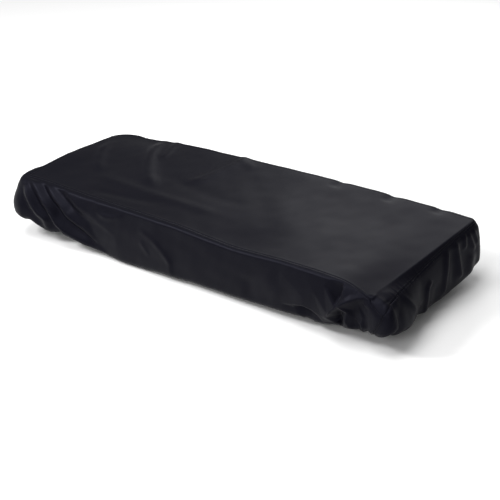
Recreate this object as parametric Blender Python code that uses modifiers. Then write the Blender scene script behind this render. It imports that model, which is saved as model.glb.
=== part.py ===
"""Fitted dust cover of thin black cloth for a small electric piano.

Five pieces of cloth are sewn into a cap with an elastic hem: the top, the front, the back and the two
ends. Each is one solid sheet here, with the form that it takes over the piano: rounded over the top edge,
hanging down the side, rolled under below, and folded where the cloth is slack at the corners.

Axes: +X runs along the cover, +Y to its back and +Z up, in metres. The origin is the middle of the top,
on the underside of the cloth, where the piano holds it up.

The form is worked out in two steps. An edge line with four rounded corners runs round the top where the cloth
starts to bend down. A place is a distance round that line, and a drop is a distance across the cloth from
it, outward and down. Tables give the section, the folds and the seams by wall, along and drop; along is
measured from the wall's middle, to the right for someone who faces that wall from outside.
"""
import math
from typing import NamedTuple

import bmesh
import bpy
import numpy as np

# Cloth
CLOTH = 0.0012           # thickness of a sheet
SEAM_GAP = 0.0006        # between two panels along a seam
CLOTH_COLOUR = (0.011, 0.011, 0.013, 1.0)
CLOTH_ROUGHNESS = 0.48

# Corners of the edge line, where the flat of the top ends, from the front left one
EDGE_CORNERS = ((-0.500, -0.160), (0.485, -0.176), (0.500, 0.160), (-0.500, 0.160))
EDGE_RADII = (0.009, 0.009, 0.009, 0.045)
FOOT_RADII = (0.060, 0.034, 0.060, 0.060)    # the line that the cloth under the piano is drawn in to

# How the sections are worked out
UNDER_TURN = math.radians(200)    # heading of the cloth on the lip, where 90 degrees is straight down
SHOULDER_SLANT = math.radians(38)    # how much flatter than the wall the strip below the top edge lies
SHOULDER_TURN = 0.007                # length over which the cloth turns from that strip to the wall
SECTION_STEPS = 240
EDGE_FADE = 0.010                 # folds of the walls die out over this much at the top edge
FOLD_RISE = 0.30                  # share of a fold's run in which it rises from nothing at each end
SLOPE_PROBE = 0.002

# Slow waves that the elastic draws into the lip
LIP_WAVES = ((23, 0.0022, 0.4), (37, 0.0014, 2.1))    # waves round the cover, height, phase

WALLS = ("front", "right", "back", "left")


class Straight(NamedTuple):
    """A straight stretch of a line round the cover."""

    length: float
    start: np.ndarray
    step: np.ndarray     # direction in which it runs
    middle: float        # how far along it the middle of its wall is


class Arc(NamedTuple):
    """A rounded corner of a line round the cover."""

    length: float
    centre: np.ndarray
    bearing: float       # of its first point from the centre
    radius: float


class Section(NamedTuple):
    """The way the cloth hangs at one place: over the edge, down the wall and under."""

    wall: str
    along: float
    edge: float      # radius over the top edge
    shoulder: float  # slanted strip between the top edge and the wall
    lean: float      # how far the foot of the wall stands out from its head
    belly: float     # how far the middle of the wall stands out of the straight line
    height: float    # from the top down to the lowest cloth
    curl: float      # radius of the roll under
    lip: float       # flat cloth between the roll and the hem


class Fold(NamedTuple):
    """A soft ridge, or a trough if its height is below zero, from one spot on a wall to another."""

    wall: str
    along: float
    drop: float
    to_along: float
    to_drop: float
    bow: float       # how far its middle stands off the straight line
    near: float      # half width on the left of its run
    far: float       # half width on the right of its run
    height: float


class Swell(NamedTuple):
    """A broad rise of the top, or a hollow if its height is below zero."""

    x: float
    y: float
    reach_x: float
    reach_y: float
    height: float


class Crease(NamedTuple):
    """A soft ridge across the top, or a trough if its height is below zero."""

    x: float
    y: float
    to_x: float
    to_y: float
    bow: float
    near: float
    far: float
    height: float


class Stretch(NamedTuple):
    """A stretch of a panel's side and the numbers of mesh steps in it."""

    length: float
    steps: int         # of the top and of a plain wall
    fold_steps: int    # of a wall with narrow folds, a whole number of times as many


class SeamDrop(NamedTuple):
    """Where the seam round the top panel lies: the drop at one place."""

    wall: str
    along: float
    drop: float


SECTIONS = (
    # wall, along, edge, shoulder, lean, belly, height, curl, lip
    Section("front", -0.478, 0.032, 0.000, 0.028, 0.010, 0.142, 0.027, 0.020),
    Section("front", -0.425, 0.012, 0.000, 0.030, 0.010, 0.133, 0.024, 0.021),
    Section("front", -0.370, 0.008, 0.000, 0.018, 0.008, 0.115, 0.021, 0.022),
    Section("front", -0.300, 0.008, 0.000, 0.014, 0.006, 0.124, 0.020, 0.023),
    Section("front", -0.212, 0.008, 0.000, 0.011, 0.005, 0.138, 0.018, 0.024),
    Section("front", -0.052, 0.008, 0.000, 0.008, 0.003, 0.131, 0.017, 0.026),
    Section("front", 0.158, 0.008, 0.000, 0.004, 0.003, 0.121, 0.017, 0.026),
    Section("front", 0.338, 0.008, 0.000, 0.004, 0.004, 0.124, 0.017, 0.024),
    Section("front", 0.430, 0.007, 0.000, 0.004, 0.004, 0.112, 0.016, 0.022),
    Section("front", 0.460, 0.006, 0.000, 0.004, 0.004, 0.100, 0.018, 0.020),
    Section("front", 0.482, 0.006, 0.006, 0.008, 0.004, 0.103, 0.018, 0.020),
    Section("right", -0.150, 0.005, 0.024, 0.034, 0.010, 0.118, 0.022, 0.020),
    Section("right", -0.116, 0.005, 0.022, 0.026, 0.008, 0.118, 0.021, 0.021),
    Section("right", -0.082, 0.005, 0.021, 0.012, 0.006, 0.110, 0.020, 0.022),
    Section("right", -0.036, 0.005, 0.020, 0.004, 0.004, 0.115, 0.018, 0.024),
    Section("right", 0.068, 0.005, 0.011, 0.004, 0.003, 0.120, 0.018, 0.024),
    Section("right", 0.128, 0.005, 0.011, 0.003, 0.002, 0.119, 0.020, 0.022),
    Section("right", 0.156, 0.005, 0.011, 0.001, 0.002, 0.116, 0.024, 0.020),
    Section("back", -0.430, 0.008, 0.000, 0.004, 0.004, 0.114, 0.020, 0.022),
    Section("back", -0.150, 0.008, 0.000, 0.008, 0.004, 0.122, 0.017, 0.026),
    Section("back", 0.160, 0.008, 0.000, 0.008, 0.003, 0.120, 0.017, 0.026),
    Section("back", 0.420, 0.010, 0.000, 0.010, 0.006, 0.118, 0.020, 0.022),
    Section("left", -0.100, 0.009, 0.000, 0.016, 0.008, 0.118, 0.019, 0.022),
    Section("left", 0.040, 0.010, 0.000, 0.022, 0.010, 0.120, 0.020, 0.022),
    Section("left", 0.146, 0.032, 0.000, 0.031, 0.011, 0.140, 0.027, 0.020),
)

FOLDS = (
    # wall, along, drop, to_along, to_drop, bow, near, far, height
    # Front, left end: folds that fan out of the corner
    Fold("front", -0.496, 0.004, -0.400, 0.096, 0.004, 0.013, 0.012, 0.008),
    Fold("front", -0.490, 0.012, -0.412, 0.124, -0.006, 0.012, 0.012, -0.010),
    Fold("front", -0.494, -0.004, -0.380, 0.122, 0.018, 0.014, 0.014, 0.017),
    Fold("front", -0.408, 0.090, -0.270, 0.126, -0.006, 0.014, 0.014, 0.010),
    Fold("front", -0.470, 0.000, -0.352, 0.086, 0.004, 0.012, 0.012, -0.011),
    Fold("front", -0.388, 0.060, -0.230, 0.122, 0.004, 0.014, 0.012, -0.012),
    Fold("front", -0.452, -0.002, -0.292, 0.080, -0.004, 0.014, 0.015, 0.013),
    Fold("front", -0.408, 0.006, -0.276, 0.060, 0.000, 0.015, 0.015, -0.007),
    Fold("front", -0.350, 0.028, -0.256, 0.044, 0.000, 0.013, 0.013, 0.004),
    # Front, middle
    Fold("front", -0.262, 0.036, -0.164, 0.012, -0.010, 0.012, 0.012, 0.004),
    Fold("front", -0.136, 0.040, -0.036, 0.136, 0.026, 0.018, 0.018, 0.005),
    Fold("front", 0.060, 0.030, 0.200, 0.100, 0.006, 0.032, 0.032, 0.004),
    # Front, right end: the drawn corner
    Fold("front", 0.270, 0.095, 0.412, 0.006, 0.004, 0.026, 0.018, 0.008),
    Fold("front", 0.412, 0.004, 0.392, 0.088, 0.004, 0.032, 0.013, -0.014),
    Fold("front", 0.435, 0.000, 0.408, 0.074, 0.004, 0.010, 0.011, 0.009),
    Fold("front", 0.484, 0.008, 0.352, 0.124, -0.004, 0.014, 0.012, 0.013),
    Fold("front", 0.436, 0.056, 0.414, 0.124, 0.003, 0.011, 0.010, 0.008),
    Fold("front", 0.478, 0.030, 0.434, 0.122, 0.004, 0.012, 0.012, -0.008),
    Fold("front", 0.491, -0.004, 0.495, 0.104, 0.000, 0.011, 0.011, 0.009),
    Fold("front", 0.298, 0.104, 0.392, 0.072, 0.004, 0.012, 0.012, -0.011),
    Fold("front", 0.374, 0.114, 0.426, 0.084, 0.000, 0.011, 0.011, -0.010),
    # Right end, from the front corner to the back one
    Fold("right", -0.162, 0.040, -0.122, 0.160, -0.010, 0.013, 0.014, 0.011),
    Fold("right", -0.060, 0.084, -0.064, 0.146, 0.000, 0.012, 0.014, -0.006),
    Fold("right", -0.122, 0.024, -0.082, 0.086, 0.000, 0.012, 0.012, 0.005),
    Fold("right", -0.008, 0.044, -0.032, 0.124, -0.010, 0.010, 0.011, 0.008),
    Fold("right", 0.059, 0.014, 0.026, 0.112, 0.000, 0.010, 0.010, 0.010),
    Fold("right", 0.090, 0.010, 0.094, 0.108, -0.004, 0.010, 0.010, 0.010),
    Fold("right", 0.121, 0.008, 0.112, 0.060, 0.000, 0.010, 0.010, 0.007),
    Fold("right", 0.128, 0.018, 0.146, 0.082, 0.000, 0.010, 0.010, 0.006),
    # Back and left end: slack drawn to the corners
    Fold("back", -0.466, 0.010, -0.390, 0.114, 0.006, 0.018, 0.018, 0.008),
    Fold("back", -0.224, 0.030, -0.176, 0.130, 0.004, 0.026, 0.026, 0.006),
    Fold("back", 0.092, 0.030, 0.058, 0.130, 0.004, 0.026, 0.026, 0.006),
    Fold("back", 0.436, 0.010, 0.350, 0.114, -0.006, 0.020, 0.020, 0.009),
    Fold("left", -0.104, 0.014, -0.046, 0.120, 0.004, 0.017, 0.017, 0.009),
    Fold("left", 0.018, 0.024, 0.032, 0.134, 0.000, 0.017, 0.017, 0.007),
    Fold("left", 0.122, 0.020, 0.080, 0.122, -0.006, 0.016, 0.016, 0.009),
)

SWELLS = (
    # x, y, reach_x, reach_y, height
    Swell(-0.440, -0.150, 0.120, 0.110, 0.004),
    Swell(-0.500, -0.040, 0.060, 0.100, 0.009),
    Swell(0.130, -0.165, 0.110, 0.070, -0.008),
    Swell(0.500, -0.185, 0.060, 0.200, -0.017),
    Swell(-0.430, 0.165, 0.100, 0.060, -0.012),
    Swell(0.180, 0.175, 0.380, 0.090, 0.010),
)

CREASES = (
    # x, y, to_x, to_y, bow, near, far, height
    Crease(-0.472, 0.060, -0.330, -0.070, 0.012, 0.016, 0.016, 0.0040),
    Crease(-0.412, 0.165, -0.210, -0.042, 0.010, 0.015, 0.015, 0.0045),
    Crease(-0.175, 0.010, -0.160, 0.150, 0.010, 0.018, 0.018, 0.0030),
    Crease(0.060, 0.120, 0.220, -0.090, 0.010, 0.045, 0.045, 0.0030),
    Crease(0.150, 0.110, 0.162, 0.180, 0.000, 0.014, 0.014, -0.0035),
    Crease(0.286, 0.120, 0.298, 0.180, 0.000, 0.014, 0.014, -0.0035),
    Crease(0.408, 0.130, 0.420, 0.180, 0.000, 0.014, 0.014, -0.0030),
)

SEAM_DROPS = (
    # wall, along, drop
    SeamDrop("front", -0.488, -0.004),
    SeamDrop("front", 0.440, -0.004),
    SeamDrop("front", 0.490, 0.020),
    SeamDrop("right", -0.150, 0.022),
    SeamDrop("right", -0.100, 0.022),
    SeamDrop("right", -0.030, 0.018),
    SeamDrop("right", 0.040, 0.012),
    SeamDrop("right", 0.100, 0.008),
    SeamDrop("right", 0.152, 0.007),
    SeamDrop("back", -0.484, -0.003),
    SeamDrop("back", 0.440, -0.004),
    SeamDrop("left", -0.120, -0.004),
    SeamDrop("left", 0.149, -0.004),
)

# Corner seams: the wall that carries each, its place on it, and how far it slants along by the hem
CORNER_SEAMS = {
    "front_left": ("left", 0.142, 0.0),
    "front_right": ("front", 0.490, -0.014),
    "back_right": ("back", -0.480, 0.0),
    "back_left": ("back", 0.442, 0.0),
}
SLANT_DONE = 0.55        # share of the way from seam to hem where the slant is complete

# Grid of the top: how far its points keep from the outline, for each ring of them inward
RING_STEP = 0.0020
RINGS = 5

# Mesh stations along the front, from left to right, and along the right end, from front to back
LONG_STRETCHES = (
    # length, steps, fold_steps
    Stretch(0.012, 3, 3),
    Stretch(0.220, 13, 26),
    Stretch(0.500, 10, 10),
    Stretch(0.210, 13, 26),
    Stretch(0.024, 5, 5),
    Stretch(0.010, 4, 4),
)
SHORT_STRETCHES = (
    # length, steps, fold_steps
    Stretch(0.010, 4, 4),
    Stretch(0.260, 10, 30),
    Stretch(0.030, 3, 6),
    Stretch(0.012, 3, 3),
)
# Mesh rows from the top seam to the hem; only the shares matter
FRONT_ROWS = (Stretch(0.004, 2, 2), Stretch(0.012, 4, 4), Stretch(0.160, 15, 15))
RIGHT_ROWS = (Stretch(0.006, 2, 2), Stretch(0.140, 13, 13))
BACK_ROWS = (Stretch(0.004, 2, 2), Stretch(0.012, 3, 3), Stretch(0.090, 2, 2), Stretch(0.060, 4, 4))
LEFT_ROWS = (Stretch(0.004, 2, 2), Stretch(0.024, 4, 4), Stretch(0.080, 4, 4), Stretch(0.060, 4, 4))


def ease(share):
    """Smooth step from 0 to 1."""
    share = np.clip(share, 0.0, 1.0)
    return share * share * (3.0 - 2.0 * share)


# ---------------------------------------------------------------- edge line

def line_segments(radii):
    """The edge corners joined with rounded corners, a straight and then an arc for each wall."""
    corners = np.array(EDGE_CORNERS)
    sides = np.roll(corners, -1, axis=0) - corners
    lengths = np.hypot(sides[:, 0], sides[:, 1])
    headings = np.arctan2(sides[:, 1], sides[:, 0])
    turns = np.mod(np.roll(headings, -1) - headings, 2 * math.pi)
    cuts = np.roll(radii, -1) * np.tan(turns / 2)
    stretches = []
    for index, heading in enumerate(headings):
        step = np.array((math.cos(heading), math.sin(heading)))
        start = corners[index] + step * cuts[index - 1]
        run = lengths[index] - cuts[index - 1] - cuts[index]
        stretches.append(Straight(run, start, step, lengths[index] / 2 - cuts[index - 1]))
        radius = radii[(index + 1) % len(radii)]
        centre = start + step * run + np.array((-step[1], step[0])) * radius
        stretches.append(Arc(radius * turns[index], centre, heading - math.pi / 2, radius))
    return stretches


def starts_of(stretches):
    """Distance round a line at which each of its stretches starts, and its whole length."""
    return np.concatenate(([0.0], np.cumsum([stretch.length for stretch in stretches])))


def key_places(stretches):
    """Distances round a line of its wall middles and corner middles, one quarter turn to the next."""
    starts = starts_of(stretches)
    keys = []
    for index in range(0, len(stretches), 2):
        keys.append(starts[index] + stretches[index].middle)
        keys.append(starts[index + 1] + stretches[index + 1].length / 2)
    return np.array(keys)


EDGE = line_segments(EDGE_RADII)
FOOT = line_segments(FOOT_RADII)
STARTS = starts_of(EDGE)
ROUND = STARTS[-1]
EDGE_KEYS, FOOT_KEYS = key_places(EDGE), key_places(FOOT)
MIDDLES = dict(zip(WALLS, EDGE_KEYS[::2]))


def place_at(wall, along):
    """Distance round the edge line of a spot on a wall."""
    return MIDDLES[wall] + along


def line_point(stretches, place):
    """Points of a rounded line and their outward directions, for an array of places on it."""
    starts = starts_of(stretches)
    place = np.mod(place, starts[-1])
    point = np.zeros(place.shape + (2,))
    outward = np.zeros(place.shape + (2,))
    for stretch, start in zip(stretches, starts):
        here = (place >= start) & (place <= start + stretch.length)
        run = place[here] - start
        if isinstance(stretch, Straight):
            point[here] = stretch.start + run[:, None] * stretch.step
            outward[here] = (stretch.step[1], -stretch.step[0])
        else:
            bearing = stretch.bearing + run / stretch.radius
            outward[here] = np.stack((np.cos(bearing), np.sin(bearing)), axis=-1)
            point[here] = stretch.centre + stretch.radius * outward[here]
    return point, outward


def edge_point(place):
    """Points of the edge line and their outward directions."""
    return line_point(EDGE, place)


def foot_point(place):
    """Points of the foot line and their outward directions, for places round the edge line."""
    foot_round = starts_of(FOOT)[-1]
    keys = np.append(EDGE_KEYS, EDGE_KEYS[0] + ROUND)
    values = np.append(FOOT_KEYS, FOOT_KEYS[0] + foot_round)
    wrapped = np.mod(place - EDGE_KEYS[0], ROUND) + EDGE_KEYS[0]
    return line_point(FOOT, np.interp(wrapped, keys, values))


def nearest_place(plan):
    """Place of the nearest edge point and the distance outside the edge line, for plan points."""
    distance = np.full(plan.shape[:-1], -np.inf)
    place = np.zeros(plan.shape[:-1])
    for stretch, start in zip(EDGE[::2], STARTS[::2]):
        beyond = (plan - stretch.start) @ np.array((stretch.step[1], -stretch.step[0]))
        run = np.clip((plan - stretch.start) @ stretch.step, 0.0, stretch.length)
        closer = beyond > distance
        distance = np.where(closer, beyond, distance)
        place = np.where(closer, start + run, place)
    for stretch, start in zip(EDGE[1::2], STARTS[1::2]):
        arm = plan - stretch.centre
        bearing = np.arctan2(arm[..., 1], arm[..., 0]) - stretch.bearing
        bearing = np.mod(bearing + math.pi, 2 * math.pi) - math.pi
        reach = np.hypot(arm[..., 0], arm[..., 1])
        here = (bearing >= 0.0) & (bearing * stretch.radius <= stretch.length)
        distance = np.where(here, reach - stretch.radius, distance)
        place = np.where(here, start + bearing * stretch.radius, place)
    return place, distance


# ---------------------------------------------------------------- folds and sections

def ridge(across, down, row_start, row_end, bow, near, far, height):
    """Height of one soft ridge at points given across and down."""
    run = np.subtract(row_end, row_start)
    length = math.hypot(run[0], run[1])
    run = run / length
    ahead = ((across - row_start[0]) * run[0] + (down - row_start[1]) * run[1]) / length
    aside = (across - row_start[0]) * run[1] - (down - row_start[1]) * run[0]
    inside = np.clip(ahead, 0.0, 1.0)
    aside = aside - 4.0 * bow * inside * (1.0 - inside)
    width = np.where(aside < 0.0, near, far)
    fade = ease(np.minimum(inside, 1.0 - inside) / FOLD_RISE)
    return height * fade * np.exp(-(aside / width) ** 2)


def top_height(plan):
    """Height of the top at plan points, without the offset that puts the origin on the cloth."""
    x, y = plan[..., 0], plan[..., 1]
    height = np.zeros(x.shape)
    for row in SWELLS:
        height += row.height * np.exp(-((x - row.x) / row.reach_x) ** 2 - ((y - row.y) / row.reach_y) ** 2)
    for row in CREASES:
        height += ridge(x, y, (row.x, row.y), (row.to_x, row.to_y), row.bow, row.near, row.far, row.height)
    return height


CENTRE_HEIGHT = float(top_height(np.zeros((1, 2)))[0])


def top_surface(plan):
    """Outer face of the top at plan points; at the origin it is one thickness of cloth above zero."""
    return top_height(plan) - CENTRE_HEIGHT + CLOTH


def wall_folds(place, drop):
    """How far the folds stand out of the plain hanging cloth."""
    stand = np.zeros(place.shape)
    for row in FOLDS:
        along = np.mod(place - MIDDLES[row.wall] + ROUND / 2, ROUND) - ROUND / 2
        stand += ridge(along, drop, (row.along, row.drop), (row.to_along, row.to_drop),
                       row.bow, row.near, row.far, row.height)
    return stand * ease(drop / EDGE_FADE)


def round_table(rows, field, place):
    """Value of one column of a table at places round the edge, eased from row to row."""
    knots = np.array([np.mod(place_at(row.wall, row.along), ROUND) for row in rows])
    values = np.array([getattr(row, field) for row in rows])
    order = np.argsort(knots)
    knots, values = knots[order], values[order]
    knots = np.concatenate(([knots[-1] - ROUND], knots, [knots[0] + ROUND]))
    values = np.concatenate(([values[-1]], values, [values[0]]))
    place = np.mod(place, ROUND)
    after = np.clip(np.searchsorted(knots, place, side="right"), 1, len(knots) - 1)
    share = ease((place - knots[after - 1]) / (knots[after] - knots[after - 1]))
    return values[after - 1] * (1.0 - share) + values[after] * share


def section_curves(place):
    """Section of the plain hanging cloth at each place: drop, reach, height, heading and draw under."""
    edge, shoulder, lean, belly, height, curl, lip = (
        round_table(SECTIONS, field, place)
        for field in ("edge", "shoulder", "lean", "belly", "height", "curl", "lip"))
    point, outward = edge_point(place)
    rise = top_surface(point + outward * SLOPE_PROBE) - top_surface(point - outward * SLOPE_PROBE)
    first = -np.arctan(rise / (2.0 * SLOPE_PROBE))
    slant = SHOULDER_SLANT * ease(shoulder / SHOULDER_TURN)
    turn = SHOULDER_TURN * ease(shoulder / SHOULDER_TURN)
    wall = height - edge - curl - (shoulder + turn) * np.cos(slant)
    head = math.pi / 2 - lean / wall - 4.0 * belly / wall
    foot = math.pi / 2 - lean / wall + 4.0 * belly / wall
    lengths = (edge * (head - slant - first), shoulder, turn, wall, curl * (UNDER_TURN - foot), lip)
    turns = (head - slant - first, 0.0 * edge, slant, foot - head, UNDER_TURN - foot, 0.0 * edge)
    total = sum(lengths)
    share = np.linspace(0.0, 1.0, SECTION_STEPS + 1)
    drop = share[None, :] * total[:, None]
    heading = np.repeat(first[:, None], SECTION_STEPS + 1, axis=1)
    start = np.zeros(place.shape)
    for length, bend in zip(lengths, turns):
        done = np.clip((drop - start[:, None]) / np.maximum(length, 1e-6)[:, None], 0.0, 1.0)
        heading = heading + bend[:, None] * done
        start = start + length
    step = np.diff(drop, axis=1)
    middle = (heading[:, 1:] + heading[:, :-1]) / 2
    zero = np.zeros((len(place), 1))
    reach = np.concatenate((zero, np.cumsum(np.cos(middle) * step, axis=1)), axis=1)
    fall = np.concatenate((zero, np.cumsum(np.sin(middle) * step, axis=1)), axis=1)
    drawn = ease((heading - math.pi / 2) / (UNDER_TURN - math.pi / 2))
    return drop, reach, -fall, heading, drawn


def hem_drop(place):
    """Drop of the hem at places round the edge."""
    return section_curves(place)[0][:, -1]


def hang(place, drop):
    """Points of the outer face of the cloth at flat arrays of places and drops."""
    point, outward = edge_point(place)
    foot, foot_outward = foot_point(place)
    lattice, reach, height, heading, drawn = section_curves(place)
    index = np.clip(drop / lattice[:, 1], 0.0, SECTION_STEPS - 1e-6)
    low = index.astype(int)
    share = index - low
    rows = np.arange(len(place))

    def between(values):
        return values[rows, low] * (1.0 - share) + values[rows, low + 1] * share

    out, up, turn, under = between(reach), between(height), between(heading), between(drawn)[:, None]
    stand = wall_folds(place, drop)
    lip_share = ease((drop / lattice[:, -1] - 0.72) / 0.28)
    for waves, wave_height, phase in LIP_WAVES:
        stand = stand + lip_share * wave_height * np.sin(2 * math.pi * waves * place / ROUND + phase)
    out = out + stand * np.sin(turn)
    up = up + stand * np.cos(turn)
    onto_top = drop < 0.0
    out = np.where(onto_top, drop, out)
    under = np.where(onto_top[:, None], 0.0, under)
    line = point * (1.0 - under) + foot * under
    facing = outward * (1.0 - under) + foot_outward * under
    facing = facing / np.linalg.norm(facing, axis=1, keepdims=True)
    plan = line + facing * out[:, None]
    base = top_surface(np.where(onto_top[:, None], plan, point))
    return np.column_stack((plan, np.where(onto_top, base, base + up)))


def drape(plan):
    """Points of the outer face for plan points of the cloth spread flat round the edge line."""
    place, distance = nearest_place(plan)
    lying = np.column_stack((plan, top_surface(plan)))
    hanging = hang(place, np.maximum(distance, 0.0))
    return np.where(distance[:, None] > 0.0, hanging, lying)


# ---------------------------------------------------------------- panels

def stations(stretches, field):
    """Shares of a panel's side at which its mesh has points."""
    counts = [getattr(row, field) for row in stretches]
    lengths = [row.length / count for row, count in zip(stretches, counts)]
    shares = np.concatenate(([0.0], np.cumsum(np.repeat(lengths, counts))))
    return shares / shares[-1]


def corner_place(corner, share):
    """Place of a corner seam at shares of the way from the top seam to the hem."""
    wall, along, slant = CORNER_SEAMS[corner]
    return place_at(wall, along) + slant * ease(share / SLANT_DONE)


def wall_points(left, right, columns, seam_columns, rows):
    """Points of a wall panel, by column and row, between two corner seams named as seen from outside.

    Its top row runs straight between the stations that it shares with the top panel.
    """
    share = stations(rows, "steps")
    start = corner_place(left, share) + SEAM_GAP / 2
    end = corner_place(right, share) - SEAM_GAP / 2
    end = np.where(end < start, end + ROUND, end)
    place = start[None, :] + columns[:, None] * (end - start)[None, :]
    flat = place.ravel()
    seam = round_table(SEAM_DROPS, "drop", flat) + SEAM_GAP / 2
    drop = seam + np.tile(share, len(columns)) * (hem_drop(flat) - seam)
    points = hang(flat, drop).reshape(len(columns), len(share), 3)
    shared = np.isclose(columns[:, None], seam_columns[None, :]).any(axis=1)
    for axis in range(3):
        points[:, 0, axis] = np.interp(columns, columns[shared], points[shared, 0, axis])
    return points


def seam_plan(place):
    """The top panel's outline at places round the edge, on the cloth spread flat."""
    point, outward = edge_point(place)
    return point + outward * (round_table(SEAM_DROPS, "drop", place) - SEAM_GAP / 2)[:, None]


def kept_inside(plan):
    """Move points of the top's grid that come too near its outline inward, ring by ring."""
    columns, rows = np.indices(plan.shape[:2])
    ring = np.minimum.reduce((columns, rows, columns[::-1], rows[:, ::-1]))
    place, distance = nearest_place(plan)
    point, outward = edge_point(place)
    limit = round_table(SEAM_DROPS, "drop", place) - SEAM_GAP / 2 - RING_STEP * ring
    over = (ring > 0) & (ring <= RINGS) & (distance > limit)
    return np.where(over[..., None], point + outward * limit[..., None], plan)


def top_points(long_shares, short_shares):
    """Points of the top panel: its four outlines filled in between, then draped."""
    corner = {name: float(corner_place(name, 0.0)) for name in CORNER_SEAMS}
    left_front = corner["front_left"] - ROUND
    u, v = long_shares, short_shares
    front = seam_plan(left_front + u * (corner["front_right"] - left_front))
    right = seam_plan(corner["front_right"] + v * (corner["back_right"] - corner["front_right"]))
    back = seam_plan(corner["back_left"] + u * (corner["back_right"] - corner["back_left"]))
    left = seam_plan(corner["front_left"] + v * (corner["back_left"] - corner["front_left"]))
    across, up = u[:, None, None], v[None, :, None]
    plan = (1 - up) * front[:, None] + up * back[:, None] + (1 - across) * left[None] + across * right[None]
    plan -= (1 - across) * (1 - up) * front[0] + across * (1 - up) * front[-1]
    plan -= (1 - across) * up * back[0] + across * up * back[-1]
    return drape(kept_inside(plan).reshape(-1, 2)).reshape(len(u), len(v), 3)


def cloth_material(name):
    """Black woven cloth with a soft shine."""
    material = bpy.data.materials.new(name)
    material.use_nodes = True
    shader = material.node_tree.nodes["Principled BSDF"]
    shader.inputs["Base Color"].default_value = CLOTH_COLOUR
    shader.inputs["Roughness"].default_value = CLOTH_ROUGHNESS
    shader.inputs["Metallic"].default_value = 0.0
    return material


def panel(name, points, collection):
    """A sheet of cloth: a grid moved to its hanging form and thickened inward."""
    columns, rows = points.shape[0] - 1, points.shape[1] - 1
    shape = bmesh.new()
    bmesh.ops.create_grid(shape, x_segments=columns, y_segments=rows, size=0.5)
    for vertex in shape.verts:
        column = round((vertex.co.x + 0.5) * columns)
        row = round((vertex.co.y + 0.5) * rows)
        vertex.co = points[column, row]
    mesh = bpy.data.meshes.new(name)
    shape.to_mesh(mesh)
    shape.free()
    mesh.shade_smooth()
    sheet = bpy.data.objects.new(name, mesh)
    collection.objects.link(sheet)
    thickness = sheet.modifiers.new("thickness", "SOLIDIFY")
    thickness.thickness = CLOTH
    thickness.offset = -1.0
    mesh.materials.append(cloth_material(name + "_cloth"))
    return sheet


def clear_scene():
    """Remove what the file opened with."""
    for item in list(bpy.data.objects):
        bpy.data.objects.remove(item, do_unlink=True)


def build():
    """Make the five panels of the cover."""
    clear_scene()
    collection = bpy.data.collections.new("piano_cover")
    bpy.context.scene.collection.children.link(collection)
    long_shares, short_shares = stations(LONG_STRETCHES, "steps"), stations(SHORT_STRETCHES, "steps")
    front_shares, right_shares = stations(LONG_STRETCHES, "fold_steps"), stations(SHORT_STRETCHES, "fold_steps")
    back_shares, left_shares = 1.0 - long_shares[::-1], 1.0 - short_shares[::-1]
    walls = (
        ("front_panel", "front_left", "front_right", front_shares, long_shares, FRONT_ROWS),
        ("right_end_panel", "front_right", "back_right", right_shares, short_shares, RIGHT_ROWS),
        ("back_panel", "back_right", "back_left", back_shares, back_shares, BACK_ROWS),
        ("left_end_panel", "back_left", "front_left", left_shares, left_shares, LEFT_ROWS),
    )
    panel("top_panel", top_points(long_shares, short_shares), collection)
    for name, left, right, columns, seam_columns, rows in walls:
        points = wall_points(left, right, columns, seam_columns, rows)
        panel(name, points[:, ::-1], collection)


build()
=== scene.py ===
"""Fitted dust cover of thin black cloth, drawn over a small electric piano.

Five panels are sewn into a cap: the top, the front, the back and the two ends, with stitches
beside the seams. The cloth is rounded over the edge of the piano, hangs down its sides and is
rolled under by the elastic in its hem. It lies slack at the corners, so it folds there.

Places on the cloth are given by wall, along and drop. Along runs from the wall's middle to the
right, for someone who faces the wall from outside, and drop runs over the cloth from the edge
line, out and down. Everything is in metres, +X along the cover, +Y to its back and +Z up.
"""
import logging
import math
from dataclasses import dataclass
from enum import Enum

import bpy
import numpy as np
from mathutils import Matrix, Vector
from mathutils.geometry import delaunay_2d_cdt


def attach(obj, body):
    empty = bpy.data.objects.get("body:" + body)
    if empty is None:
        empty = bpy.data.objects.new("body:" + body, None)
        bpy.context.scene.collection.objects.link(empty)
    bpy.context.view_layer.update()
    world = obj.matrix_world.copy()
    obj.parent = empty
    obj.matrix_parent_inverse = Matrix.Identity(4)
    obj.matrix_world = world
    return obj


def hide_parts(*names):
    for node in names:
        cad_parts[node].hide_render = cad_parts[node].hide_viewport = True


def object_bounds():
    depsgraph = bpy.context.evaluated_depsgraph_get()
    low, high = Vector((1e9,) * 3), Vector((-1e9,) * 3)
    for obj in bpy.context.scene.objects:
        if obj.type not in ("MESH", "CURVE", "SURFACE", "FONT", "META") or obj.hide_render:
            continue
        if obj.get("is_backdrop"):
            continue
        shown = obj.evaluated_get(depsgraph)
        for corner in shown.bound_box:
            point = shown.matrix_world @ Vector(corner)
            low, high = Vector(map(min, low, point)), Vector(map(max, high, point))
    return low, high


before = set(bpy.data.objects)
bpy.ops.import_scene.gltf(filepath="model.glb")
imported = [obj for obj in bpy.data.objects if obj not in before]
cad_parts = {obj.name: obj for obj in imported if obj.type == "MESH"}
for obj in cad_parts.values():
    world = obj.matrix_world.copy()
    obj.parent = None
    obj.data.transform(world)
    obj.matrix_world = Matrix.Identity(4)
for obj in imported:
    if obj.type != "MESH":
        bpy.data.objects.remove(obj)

LOG = logging.getLogger("piano_cover")
Array = np.ndarray
Pair = tuple[float, float]
Triple = tuple[float, float, float]
Colour = tuple[float, float, float, float]


class Wall(Enum):
    """The sides of the cover, in order round it."""

    FRONT = 0
    RIGHT = 1
    BACK = 2
    LEFT = 3


class Corner(Enum):
    """The corner seams."""

    FRONT_LEFT = "front left"
    FRONT_RIGHT = "front right"
    BACK_RIGHT = "back right"
    BACK_LEFT = "back left"


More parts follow.
